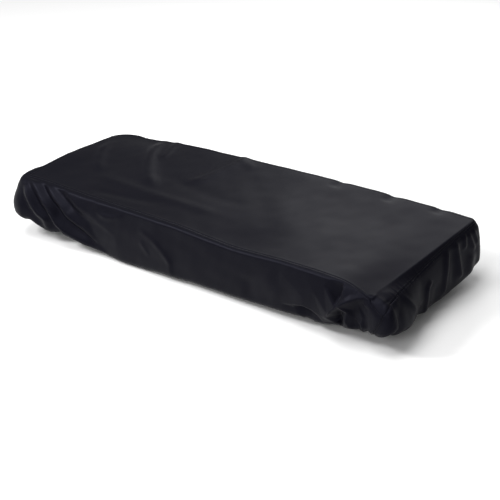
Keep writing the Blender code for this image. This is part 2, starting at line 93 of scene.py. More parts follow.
def ease(share: Array | float) -> Array:
    """Smooth step from 0 to 1.

    Args:
        share: How far along the step, clipped to 0 and 1.

    Returns:
        The eased share.
    """
    share = np.clip(share, 0.0, 1.0)
    return share * share * (3.0 - 2.0 * share)


def chained(counts: list[int]) -> list[tuple[int, int]]:
    """Pairs of neighbours in runs of points, numbered on from one run to the next.

    Args:
        counts: How many points each run has.

    Returns:
        The pairs.
    """
    pairs, first = [], 0
    for count in counts:
        pairs += [(index, index + 1) for index in range(first, first + count - 1)]
        first += count
    return pairs


def between_steps(grid: Array, column: Array, row: Array) -> Array:
    """Values of a grid, read between its steps.

    Args:
        grid: The values.
        column: Columns to read at, whole ones and shares of the next.
        row: Rows to read at, in the same way.

    Returns:
        The value at each place.
    """
    left = np.minimum(column.astype(int), grid.shape[0] - 2)
    low = np.minimum(row.astype(int), grid.shape[1] - 2)
    across, up = column - left, row - low
    near = grid[left, low] * (1.0 - up) + grid[left, low + 1] * up
    far = grid[left + 1, low] * (1.0 - up) + grid[left + 1, low + 1] * up
    return near * (1.0 - across) + far * across


# ---------------------------------------------------------------- rows of the tables

CREST_ROUNDING = 0.004  # rounding of a creased ridge's tip
CREST_TIP = 0.063       # how much lower that would make it
CREST_FOOT = 1.5        # where its flanks end, in half widths
CREST_HOLLOW = 1.2      # how hollow they are


@dataclass(frozen=True)
class Section:
    """The way the cloth hangs at one place: over the edge, down the wall and under.

    edge is the radius over the top edge, shoulder the slanted strip below it, lean how far the foot
    stands out from the head, belly how far the middle stands out of the straight line, height the
    distance from the top to the lowest cloth, curl the radius of the roll under, and lip the flat
    cloth up to the hem.
    """

    wall: Wall
    along: float
    edge: float
    shoulder: float
    lean: float
    belly: float
    height: float
    curl: float
    lip: float


@dataclass(frozen=True)
class Ridge:
    """A ridge in the cloth from one spot to another, or a trough if its height is below zero.

    The spots are along and drop on a wall, and x and y on the top. bow is how far its middle stands
    off the straight line, near and far its half widths on the left and the right of its run, crest
    how sharp its top is, from 0 for soft to 1 for creased, and ends the share of its run in which
    it rises from nothing.
    """

    across: float
    down: float
    to_across: float
    to_down: float
    bow: float
    near: float
    far: float
    height: float
    crest: float = 0.0
    ends: float = 0.30

    def rise(self, across: Array, down: Array) -> Array:
        """Height of the ridge.

        Args:
            across: First coordinates of the points.
            down: Second coordinates of the points.

        Returns:
            The height at each point.
        """
        over, fall = self.to_across - self.across, self.to_down - self.down
        length = math.hypot(over, fall)
        over, fall = over / length, fall / length
        ahead = ((across - self.across) * over + (down - self.down) * fall) / length
        aside = (across - self.across) * fall - (down - self.down) * over
        inside = np.clip(ahead, 0.0, 1.0)
        aside = aside - 4.0 * self.bow * inside * (1.0 - inside)
        share = aside / np.where(aside < 0.0, self.near, self.far)
        fade = ease(np.minimum(inside, 1.0 - inside) / self.ends)
        soft = np.exp(-share ** 2)
        if self.crest == 0.0:
            return self.height * fade * soft
        flank = (np.sqrt(share ** 2 + CREST_ROUNDING) - CREST_TIP) / CREST_FOOT
        sharp = np.clip(1.0 - flank, 0.0, 1.0) ** CREST_HOLLOW
        return self.height * fade * (soft * (1.0 - self.crest) + sharp * self.crest)


@dataclass(frozen=True)
class Swell:
    """A broad rise of the top, or a hollow if its height is below zero."""

    x: float
    y: float
    reach_x: float
    reach_y: float
    height: float

    def rise(self, x: Array, y: Array) -> Array:
        """Height of the swell at plan points."""
        across, up = (x - self.x) / self.reach_x, (y - self.y) / self.reach_y
        return self.height * np.exp(-across ** 2 - up ** 2)


@dataclass(frozen=True)
class SeamDrop:
    """The drop of the seam round the top panel at one place."""

    wall: Wall
    along: float
    drop: float


@dataclass(frozen=True)
class CornerSeam:
    """A corner seam: its wall, its place on it, and how far it slants along by the hem."""

    wall: Wall
    along: float
    slant: float


F, R, B, L = Wall.FRONT, Wall.RIGHT, Wall.BACK, Wall.LEFT

SECTIONS = (
    # wall, along, edge, shoulder, lean, belly, height, curl, lip
    Section(F, -0.478, 0.032, 0.000, 0.028, 0.010, 0.138, 0.027, 0.020),
    Section(F, -0.425, 0.012, 0.000, 0.030, 0.010, 0.134, 0.024, 0.021),
    Section(F, -0.370, 0.008, 0.000, 0.018, 0.008, 0.119, 0.021, 0.022),
    Section(F, -0.300, 0.008, 0.000, 0.014, 0.006, 0.124, 0.020, 0.023),
    Section(F, -0.212, 0.008, 0.000, 0.011, 0.005, 0.138, 0.018, 0.024),
    Section(F, -0.052, 0.008, 0.000, 0.008, 0.003, 0.131, 0.017, 0.026),
    Section(F, 0.158, 0.008, 0.000, 0.004, 0.003, 0.121, 0.017, 0.026),
    Section(F, 0.338, 0.008, 0.000, 0.004, 0.004, 0.124, 0.017, 0.024),
    Section(F, 0.430, 0.007, 0.000, 0.003, 0.004, 0.110, 0.016, 0.022),
    Section(F, 0.460, 0.006, 0.000, 0.001, 0.003, 0.104, 0.018, 0.020),
    Section(F, 0.484, 0.006, 0.004, 0.002, 0.002, 0.092, 0.018, 0.020),
    Section(F, 0.489, 0.006, 0.008, 0.006, 0.003, 0.095, 0.018, 0.020),
    Section(R, -0.160, 0.005, 0.024, 0.028, 0.009, 0.116, 0.022, 0.020),
    Section(R, -0.145, 0.005, 0.024, 0.028, 0.009, 0.122, 0.022, 0.020),
    Section(R, -0.116, 0.005, 0.022, 0.024, 0.008, 0.120, 0.021, 0.021),
    Section(R, -0.072, 0.005, 0.021, 0.010, 0.006, 0.114, 0.020, 0.022),
    Section(R, -0.036, 0.005, 0.020, 0.004, 0.004, 0.115, 0.018, 0.024),
    Section(R, 0.068, 0.005, 0.011, 0.004, 0.003, 0.120, 0.018, 0.024),
    Section(R, 0.128, 0.005, 0.011, 0.003, 0.002, 0.119, 0.020, 0.022),
    Section(R, 0.156, 0.005, 0.011, 0.001, 0.002, 0.116, 0.024, 0.020),
    Section(B, -0.430, 0.008, 0.000, 0.004, 0.004, 0.114, 0.020, 0.022),
    Section(B, -0.150, 0.008, 0.000, 0.008, 0.004, 0.122, 0.017, 0.026),
    Section(B, 0.160, 0.008, 0.000, 0.008, 0.003, 0.120, 0.017, 0.026),
    Section(B, 0.420, 0.010, 0.000, 0.010, 0.006, 0.118, 0.020, 0.022),
    Section(L, -0.100, 0.009, 0.000, 0.016, 0.008, 0.118, 0.019, 0.022),
    Section(L, 0.040, 0.010, 0.000, 0.022, 0.010, 0.120, 0.020, 0.022),
    Section(L, 0.146, 0.032, 0.000, 0.031, 0.011, 0.140, 0.027, 0.020),
)

FOLDS = {
    # along, drop, to_along, to_drop, bow, near, far, height, crest, ends
    # The front's middle
    F: (
        Ridge(-0.262, 0.026, -0.166, 0.010, -0.012, 0.008, 0.007, 0.0026, 0.3),
        Ridge(-0.136, 0.040, -0.036, 0.136, 0.026, 0.030, 0.026, 0.0022),
        Ridge(-0.132, 0.036, -0.060, 0.064, 0.003, 0.009, 0.007, 0.0013, 0.3),
        Ridge(-0.088, 0.050, -0.030, 0.100, 0.006, 0.009, 0.007, 0.0017, 0.3),
        Ridge(-0.038, 0.076, -0.042, 0.130, 0.000, 0.008, 0.007, 0.0013, 0.3),
        Ridge(-0.126, 0.056, -0.096, 0.096, 0.000, 0.008, 0.007, 0.0011, 0.3),
        Ridge(0.176, 0.050, 0.190, 0.120, 0.000, 0.020, 0.020, -0.0020),
        Ridge(0.210, 0.040, 0.280, 0.090, 0.006, 0.030, 0.030, 0.0020),
    ),
    # The right end, from the front corner to the back one
    R: (
        Ridge(-0.118, 0.030, -0.084, 0.084, 0.000, 0.007, 0.007, 0.0030, 0.5),
        Ridge(-0.060, 0.070, -0.064, 0.130, 0.000, 0.014, 0.014, -0.0030),
        Ridge(-0.004, 0.050, -0.030, 0.066, -0.003, 0.007, 0.005, 0.0032, 0.4),
        Ridge(-0.022, 0.050, -0.034, 0.124, -0.003, 0.008, 0.006, 0.0044, 0.4),
        Ridge(0.010, 0.060, 0.000, 0.120, 0.000, 0.014, 0.014, -0.0020),
        Ridge(0.062, 0.012, 0.030, 0.108, -0.002, 0.009, 0.006, 0.0048, 0.4, 0.18),
        Ridge(0.074, 0.020, 0.066, 0.100, 0.000, 0.010, 0.010, -0.0024),
        Ridge(0.090, 0.010, 0.096, 0.100, -0.003, 0.009, 0.006, 0.0042, 0.4, 0.18),
        Ridge(0.121, 0.008, 0.115, 0.046, 0.000, 0.007, 0.005, 0.0032, 0.4),
        Ridge(0.130, 0.010, 0.148, 0.064, 0.000, 0.007, 0.005, 0.0032, 0.4),
        Ridge(0.148, 0.010, 0.160, 0.056, 0.000, 0.007, 0.005, 0.0026, 0.4),
        Ridge(0.140, 0.056, 0.120, 0.110, 0.000, 0.014, 0.014, 0.0040),
    ),
    # The back and the left end: slack drawn to the corners
    B: (
        Ridge(-0.466, 0.010, -0.390, 0.114, 0.006, 0.018, 0.018, 0.008),
        Ridge(-0.224, 0.030, -0.176, 0.130, 0.004, 0.026, 0.026, 0.006),
        Ridge(0.092, 0.030, 0.058, 0.130, 0.004, 0.026, 0.026, 0.006),
        Ridge(0.436, 0.010, 0.350, 0.114, -0.006, 0.020, 0.020, 0.009),
    ),
    L: (
        Ridge(-0.104, 0.014, -0.046, 0.120, 0.004, 0.017, 0.017, 0.009),
        Ridge(0.018, 0.024, 0.032, 0.134, 0.000, 0.017, 0.017, 0.007),
        Ridge(0.122, 0.020, 0.080, 0.122, -0.006, 0.016, 0.016, 0.009),
        Ridge(0.100, 0.026, 0.172, 0.024, 0.000, 0.014, 0.014, 0.0055),
    ),
}

RIGHT_CORNER_LINES = {
    # The front's right end: along, drop and how far the line stands out, at each of its points
    "soft band": (
        (0.404, 0.006, 0.000), (0.388, 0.022, 0.003), (0.362, 0.044, 0.005), (0.334, 0.062, 0.005),
        (0.300, 0.074, 0.002)),
    "left ridge": (
        (0.364, 0.096, 0.002), (0.350, 0.088, 0.003), (0.330, 0.084, 0.004), (0.300, 0.090, 0.002)),
    "left pocket": (
        (0.362, 0.103, -0.005), (0.346, 0.095, -0.011), (0.324, 0.092, -0.011),
        (0.302, 0.098, -0.004)),
    "foot of the leaf": ((0.429, 0.010, -0.003), (0.4285, 0.026, -0.007), (0.420, 0.042, -0.006)),
    "crease of the leaf": (
        (0.4335, 0.003, 0.000), (0.4355, 0.014, 0.007), (0.4325, 0.030, 0.011),
        (0.4235, 0.046, 0.011)),
    "above the long ridge": (
        (0.470, 0.006, 0.002), (0.456, 0.014, 0.008), (0.444, 0.026, 0.013), (0.420, 0.054, 0.012),
        (0.396, 0.078, 0.008), (0.378, 0.093, 0.004)),
    "long ridge": (
        (0.486, 0.009, 0.003), (0.472, 0.014, 0.010), (0.454, 0.027, 0.018), (0.432, 0.046, 0.020),
        (0.408, 0.068, 0.018), (0.394, 0.087, 0.010), (0.384, 0.100, 0.003),
        (0.376, 0.110, -0.001)),
    "foot of the long ridge": (
        (0.479, 0.020, 0.001), (0.466, 0.034, -0.001), (0.452, 0.052, -0.002)),
    "pocket": (
        (0.426, 0.066, -0.001), (0.419, 0.082, -0.010), (0.412, 0.096, -0.012),
        (0.402, 0.105, -0.003)),
    "hem ridge": ((0.446, 0.058, 0.008), (0.438, 0.080, 0.009), (0.426, 0.102, 0.001)),
    "facet's low side": ((0.454, 0.068, -0.001), (0.450, 0.086, -0.003), (0.444, 0.106, 0.000)),
    "second pocket": ((0.464, 0.078, -0.005), (0.459, 0.098, -0.004)),
    "small ridge": ((0.477, 0.056, 0.003), (0.473, 0.074, 0.006), (0.470, 0.096, 0.001)),
    "left of the seam": (
        (0.486, 0.030, 0.000), (0.4865, 0.050, -0.001), (0.4845, 0.078, -0.002),
        (0.483, 0.104, 0.000)),
    "corner seam": (
        (0.4888, 0.010, 0.003), (0.4905, 0.026, 0.006), (0.493, 0.050, 0.007),
        (0.4905, 0.074, 0.004), (0.4885, 0.104, 0.001)),
    # The right end's front, over the corner: along goes on from the front's
    "hollow under the top's tip": ((0.4925, 0.014, -0.002), (0.496, 0.034, -0.004)),
    "hollow of the roll": (
        (0.4924, 0.066, -0.003), (0.4912, 0.088, -0.006), (0.491, 0.112, -0.003)),
    "rim of the roll": (
        (0.4942, 0.056, 0.005), (0.4948, 0.062, 0.007), (0.4948, 0.080, 0.007),
        (0.4948, 0.104, 0.004), (0.4944, 0.126, 0.001)),
    "behind the rim": ((0.4972, 0.054, 0.000), (0.4984, 0.078, -0.003), (0.499, 0.106, -0.002)),
    "slack behind it": ((0.540, 0.032, 0.000), (0.569, 0.074, 0.003), (0.576, 0.104, 0.001)),
}

LEFT_CORNER_LINES = {
    # The front's left end: folds that fan out of the corner
    "bulge of the corner": ((-0.506, 0.050, 0.002), (-0.498, 0.082, 0.003)),
    "first trough": (
        (-0.485, 0.030, -0.003), (-0.477, 0.051, -0.007), (-0.456, 0.080, -0.009),
        (-0.436, 0.096, -0.008), (-0.416, 0.116, -0.004)),
    "first ridge": (
        (-0.487, 0.014, 0.002), (-0.467, 0.037, 0.009), (-0.446, 0.058, 0.011),
        (-0.430, 0.074, 0.010), (-0.410, 0.086, 0.005)),
    "second trough": (
        (-0.466, 0.022, 0.000), (-0.434, 0.050, -0.004), (-0.412, 0.068, -0.006),
        (-0.398, 0.088, -0.007), (-0.388, 0.106, -0.005)),
    "second ridge": (
        (-0.482, 0.003, 0.001), (-0.455, 0.015, 0.007), (-0.427, 0.033, 0.011),
        (-0.398, 0.052, 0.013), (-0.387, 0.066, 0.014), (-0.377, 0.082, 0.013),
        (-0.364, 0.094, 0.012), (-0.336, 0.105, 0.010), (-0.300, 0.115, 0.008),
        (-0.265, 0.125, 0.003)),
    "third trough": (
        (-0.443, 0.006, -0.001), (-0.411, 0.028, -0.006), (-0.377, 0.052, -0.009),
        (-0.355, 0.072, -0.011), (-0.325, 0.086, -0.011), (-0.293, 0.097, -0.009),
        (-0.257, 0.110, -0.005), (-0.232, 0.120, -0.002)),
    "third ridge": (
        (-0.429, 0.003, 0.001), (-0.400, 0.017, 0.007), (-0.378, 0.031, 0.010),
        (-0.360, 0.041, 0.011), (-0.344, 0.055, 0.011), (-0.324, 0.066, 0.008),
        (-0.296, 0.077, 0.004)),
    "fourth trough": (
        (-0.389, 0.010, -0.002), (-0.363, 0.021, -0.005), (-0.339, 0.034, -0.006),
        (-0.315, 0.046, -0.005), (-0.284, 0.056, -0.003)),
    "fourth ridge": ((-0.345, 0.018, 0.002), (-0.315, 0.031, 0.004), (-0.276, 0.038, 0.003)),
}

SWELLS = (
    # x, y, reach_x, reach_y, height
    Swell(-0.440, -0.150, 0.120, 0.110, 0.004),
    Swell(-0.500, -0.040, 0.060, 0.100, 0.009),
    Swell(0.130, -0.165, 0.110, 0.070, -0.008),
    Swell(0.500, -0.185, 0.060, 0.200, -0.017),
    Swell(-0.430, 0.165, 0.100, 0.060, -0.012),
    Swell(0.180, 0.175, 0.380, 0.090, 0.010),
)

CREASES = (
    # x, y, to_x, to_y, bow, near, far, height, crest, ends
    Ridge(-0.478, 0.104, -0.350, -0.064, 0.024, 0.016, 0.014, 0.0044),
    Ridge(-0.384, 0.186, -0.184, -0.066, 0.031, 0.018, 0.015, 0.0056, 0.0, 0.24),
    Ridge(-0.334, 0.190, -0.284, 0.050, 0.004, 0.012, 0.012, 0.0028),
    Ridge(-0.112, 0.190, -0.158, -0.010, -0.014, 0.016, 0.015, 0.0042, 0.0, 0.26),
    Ridge(-0.134, 0.160, -0.050, 0.120, 0.000, 0.012, 0.012, 0.0012),
    Ridge(-0.405, -0.064, 0.060, -0.080, 0.006, 0.016, 0.016, 0.0026),
    Ridge(-0.340, -0.134, -0.120, -0.104, 0.000, 0.014, 0.014, -0.0022),
    Ridge(-0.260, 0.030, 0.100, -0.012, 0.024, 0.020, 0.020, -0.0015),
    Ridge(0.060, 0.120, 0.220, -0.090, 0.010, 0.045, 0.045, 0.0030),
    Ridge(0.158, 0.128, 0.164, 0.186, 0.000, 0.014, 0.014, -0.0026),
    Ridge(0.294, 0.128, 0.300, 0.186, 0.000, 0.014, 0.014, -0.0026),
    Ridge(0.413, 0.134, 0.420, 0.186, 0.000, 0.014, 0.014, -0.0022),
)

SEAM_DROPS = (
    # wall, along, drop
    SeamDrop(F, -0.488, -0.002),
    SeamDrop(F, -0.430, -0.006),
    SeamDrop(F, -0.200, -0.007),
    SeamDrop(F, 0.140, -0.004),
    SeamDrop(F, 0.430, -0.002),
    SeamDrop(F, 0.468, 0.002),
    SeamDrop(F, 0.484, 0.006),
    SeamDrop(F, 0.4895, 0.010),
    SeamDrop(F, 0.4915, 0.028),
    SeamDrop(F, 0.4937, 0.051),
    SeamDrop(R, -0.158, 0.041),
    SeamDrop(R, -0.134, 0.035),
    SeamDrop(R, -0.110, 0.029),
    SeamDrop(R, -0.030, 0.020),
    SeamDrop(R, 0.040, 0.014),
    SeamDrop(R, 0.100, 0.010),
    SeamDrop(R, 0.152, 0.008),
    SeamDrop(B, -0.484, 0.004),
    SeamDrop(B, 0.440, 0.004),
    SeamDrop(L, -0.120, 0.004),
    SeamDrop(L, 0.149, 0.002),
)

CORNER_SEAMS = {
    Corner.FRONT_LEFT: CornerSeam(L, 0.142, 0.0),
    Corner.FRONT_RIGHT: CornerSeam(F, 0.4937, -0.0045),
    Corner.BACK_RIGHT: CornerSeam(B, -0.480, 0.0),
    Corner.BACK_LEFT: CornerSeam(B, 0.442, 0.0),
}


# ---------------------------------------------------------------- the hanging cloth

@dataclass
class RoundedLine:
    """A closed line through four corners, with a straight and then an arc for each wall.

    Its corners run from the front left one round to the back left one, and rounding gives the
    radius at each.
    """

    corners: tuple[Pair, ...]
    rounding: tuple[float, ...]

    def __post_init__(self) -> None:
        """Measure its straights and arcs."""
        points = np.array(self.corners)
        sides = np.roll(points, -1, axis=0) - points
        lengths = np.hypot(sides[:, 0], sides[:, 1])
        headings = np.arctan2(sides[:, 1], sides[:, 0])
        turns = np.mod(np.roll(headings, -1) - headings, 2 * math.pi)
        self.radii = np.roll(self.rounding, -1)
        cuts = self.radii * np.tan(turns / 2)
        before = np.roll(cuts, 1)
        self.steps = np.stack((np.cos(headings), np.sin(headings)), axis=1)
        self.begins = points + self.steps * before[:, None]
        self.runs = lengths - before - cuts
        self.bearings = headings - math.pi / 2
        sideways = np.stack((-self.steps[:, 1], self.steps[:, 0]), axis=1)
        ends = self.begins + self.steps * self.runs[:, None]
        self.centres = ends + sideways * self.radii[:, None]
        arcs = self.radii * turns
        pieces = np.stack((self.runs, arcs), axis=1).ravel()
        self.starts = np.concatenate(([0.0], np.cumsum(pieces)))
        self.round = float(self.starts[-1])
        middles = self.starts[:-1:2] + lengths / 2 - before
        bends = self.starts[1::2] + arcs / 2
        self.keys = np.stack((middles, bends), axis=1).ravel()

    def point(self, place: Array) -> tuple[Array, Array]:
        """Points of the line and their outward directions.

        Args:
            place: Distances round the line.

        Returns:
            Plan points and unit directions, one row for each place.
        """
        place = np.mod(place, self.round)
        spot, outward = np.zeros(place.shape + (2,)), np.zeros(place.shape + (2,))
        for index in range(len(self.runs)):
            start, turn, end = self.starts[2 * index: 2 * index + 3]
            here = (place >= start) & (place <= turn)
            spot[here] = self.begins[index] + (place[here] - start)[:, None] * self.steps[index]
            outward[here] = (self.steps[index][1], -self.steps[index][0])
            here = (place > turn) & (place <= end)
            bearing = self.bearings[index] + (place[here] - turn) / self.radii[index]
            outward[here] = np.stack((np.cos(bearing), np.sin(bearing)), axis=-1)
            spot[here] = self.centres[index] + self.radii[index] * outward[here]
        return spot, outward

    def nearest(self, plan: Array) -> tuple[Array, Array]:
        """Place of the nearest point of the line and the distance outside it.

        Args:
            plan: Plan points, with x and y in the last axis.

        Returns:
            Places round the line, and distances that are below zero inside it.
        """
        distance = np.full(plan.shape[:-1], -np.inf)
        place = np.zeros(plan.shape[:-1])
        for index, step in enumerate(self.steps):
            arm = plan - self.begins[index]
            beyond = arm @ np.array((step[1], -step[0]))
            run = np.clip(arm @ step, 0.0, self.runs[index])
            closer = beyond > distance
            distance = np.where(closer, beyond, distance)
            place = np.where(closer, self.starts[2 * index] + run, place)
        for index, radius in enumerate(self.radii):
            arm = plan - self.centres[index]
            bearing = np.arctan2(arm[..., 1], arm[..., 0]) - self.bearings[index]
            bearing = np.mod(bearing + math.pi, 2 * math.pi) - math.pi
            turn, end = self.starts[2 * index + 1: 2 * index + 3]
            here = (bearing >= 0.0) & (bearing * radius <= end - turn)
            distance = np.where(here, np.hypot(arm[..., 0], arm[..., 1]) - radius, distance)
            place = np.where(here, turn + bearing * radius, place)
        return place, distance


@dataclass(frozen=True)
class Waves:
    """Small uneven waves in a cloth, as a sum of plain waves in seeded directions."""

    seed: int
    shortest: float
    longest: float
    height: float
    count: int = 14

    def rise(self, across: Array, down: Array) -> Array:
        """Height of the waves.

        Args:
            across: First coordinates of the points.
            down: Second coordinates of the points.

        Returns:
            The height at each point.
        """
        dice = np.random.default_rng(self.seed)
        total = np.zeros(across.shape)
        for _ in range(self.count):
            length = dice.uniform(self.shortest, self.longest)
            bearing = dice.uniform(0.0, math.pi)
            phase = dice.uniform(0.0, 2 * math.pi)
            run = (across * math.cos(bearing) + down * math.sin(bearing)) / length
            total += np.sin(2 * math.pi * run + phase) * (length / self.longest)
        return self.height * total / math.sqrt(self.count / 2)


@dataclass(frozen=True)
class Puckers:
    """Small puckers across a seam, where its thread draws the cloth in."""

    spacing: float = 0.0078
    height: float = 0.00022
    reach: float = 0.009
    sway: float = 1.7           # how far their spacing sways, and how fast
    sway_pace: float = 0.13
    second: float = 0.6         # height, pace and phase of a second set that makes them uneven
    second_pace: float = 0.61
    second_phase: float = 0.8
    drawn: float = 0.0009       # their height where the seam is drawn hardest
    drawn_from: float = -0.150  # the stretch of the right end where it is
    drawn_to: float = 0.040
    drawn_rise: float = 0.03    # the lengths over which that starts and ends
    drawn_fade: float = 0.10
    below_reach: float = 0.7    # shares of the reach and of the draw that are left below the seam
    below_drawn: float = 0.4

    def rise(self, place: Array, right_along: Array, distance: Array) -> Array:
        """Height of the puckers.

        Args:
            place: Places round the edge line.
            right_along: The same places, along the right end.
            distance: Distances from the seam.

        Returns:
            The height at each place.
        """
        turn = 2 * math.pi * place / self.spacing
        ripple = np.sin(turn + self.sway * np.sin(turn * self.sway_pace))
        ripple = ripple + self.second * np.sin(turn * self.second_pace + self.second_phase)
        hard = ease((right_along - self.drawn_from) / self.drawn_rise)
        hard = hard * ease((self.drawn_to - right_along) / self.drawn_fade)
        above = distance < 0.0
        reach = np.where(above, self.reach * (1.0 + hard), self.reach * self.below_reach)
        more = (self.drawn - self.height) * hard * np.where(above, 1.0, self.below_drawn)
        height = self.height + more
        return height * ripple * np.exp(-(distance / reach) ** 2)


@dataclass
class CreasedCorner:
    """Cloth drawn up at a corner, taut in flat facets between its crease lines.

    lines gives the crease lines by name, across and down the first and last along and drop of the
    corner's cloth, where it lies plain again, and rounding how far the creases are rounded. How far
    the cloth stands out is held in a chart, at every step.
    """

    lines: dict[str, tuple[Triple, ...]]
    across: Pair
    down: Pair
    rounding: float
    step: float = 0.0005
    rim_spots: int = 6      # on each side of the corner's cloth
    merged: float = 1e-7    # spots this close are one
    overlap: float = 1e-6   # how far facets reach past their edges, as a share

    def __post_init__(self) -> None:
        """Part the corner into facets and fill its chart."""
        rows = [point for points in self.lines.values() for point in points]
        edges = chained([len(points) for points in self.lines.values()])
        (left, right), (high, low) = self.across, self.down
        for share in np.linspace(0.0, 1.0, self.rim_spots, endpoint=False):
            run, fall = share * (right - left), share * (low - high)
            rows += [(left + run, high, 0.0), (right, high + fall, 0.0),
                     (right - run, low, 0.0), (left, low - fall, 0.0)]
        spots = [Vector(row[:2]) for row in rows]
        flat, _, facets, origins, _, _ = delaunay_2d_cdt(spots, edges, [], 0, self.merged)
        stands = [rows[origin[0]][2] for origin in origins]
        size = [int(round((last - first) / self.step)) + 1
                for first, last in (self.across, self.down)]
        self.chart = np.zeros(size)
        for facet in facets:
            self.fill([flat[index] for index in facet], [stands[index] for index in facet])
        self.soften(self.rounding / self.step)

    def fill(self, corners: list[Vector], stands: list[float]) -> None:
        """Fill one flat facet of the chart.

        Args:
            corners: Its three corners.
            stands: How far each stands out.
        """
        spots = np.array([tuple(corner) for corner in corners]) - (self.across[0], self.down[0])
        spots = spots / self.step
        low = np.maximum(np.floor(spots.min(axis=0)).astype(int), 0)
        high = np.minimum(np.ceil(spots.max(axis=0)).astype(int) + 1, self.chart.shape)
        u, v = np.meshgrid(np.arange(low[0], high[0]), np.arange(low[1], high[1]), indexing="ij")
        (ax, ay), (bx, by), (cx, cy) = spots
        double = (bx - ax) * (cy - ay) - (cx - ax) * (by - ay)
        second = ((u - ax) * (cy - ay) - (cx - ax) * (v - ay)) / double
        third = ((bx - ax) * (v - ay) - (u - ax) * (by - ay)) / double
        first = 1.0 - second - third
        inside = np.minimum(np.minimum(first, second), third) >= -self.overlap
        part = self.chart[low[0]:high[0], low[1]:high[1]]
        part[inside] = (first * stands[0] + second * stands[1] + third * stands[2])[inside]

    def soften(self, reach: float) -> None:
        """Round the creases by a bell-shaped blur.

        Args:
            reach: The blur's reach, in steps of the chart.
        """
        taps = np.arange(-int(3 * reach), int(3 * reach) + 1)
        weights = np.exp(-0.5 * (taps / reach) ** 2)
        weights /= weights.sum()
        for axis in (0, 1):
            margins = [(0, 0), (0, 0)]
            margins[axis] = (len(taps) // 2, len(taps) // 2)
            padded = np.pad(self.chart, margins)
            length = self.chart.shape[axis]
            self.chart = sum(weight * np.take(padded, np.arange(length) + shift, axis=axis)
                             for shift, weight in enumerate(weights))

    def stand(self, along: Array, drop: Array) -> Array:
        """How far the corner's cloth stands out.

        Args:
            along: Places along the wall.
            drop: Drops from its edge.

        Returns:
            How far it stands out there, and nothing beyond the corner.
        """
        u = (along - self.across[0]) / self.step
        v = (drop - self.down[0]) / self.step
        columns, rows = self.chart.shape
        inside = (u >= 0) & (u < columns - 1) & (v >= 0) & (v < rows - 1)
        stands = between_steps(self.chart, np.where(inside, u, 0.0), np.where(inside, v, 0.0))
        return np.where(inside, stands, 0.0)


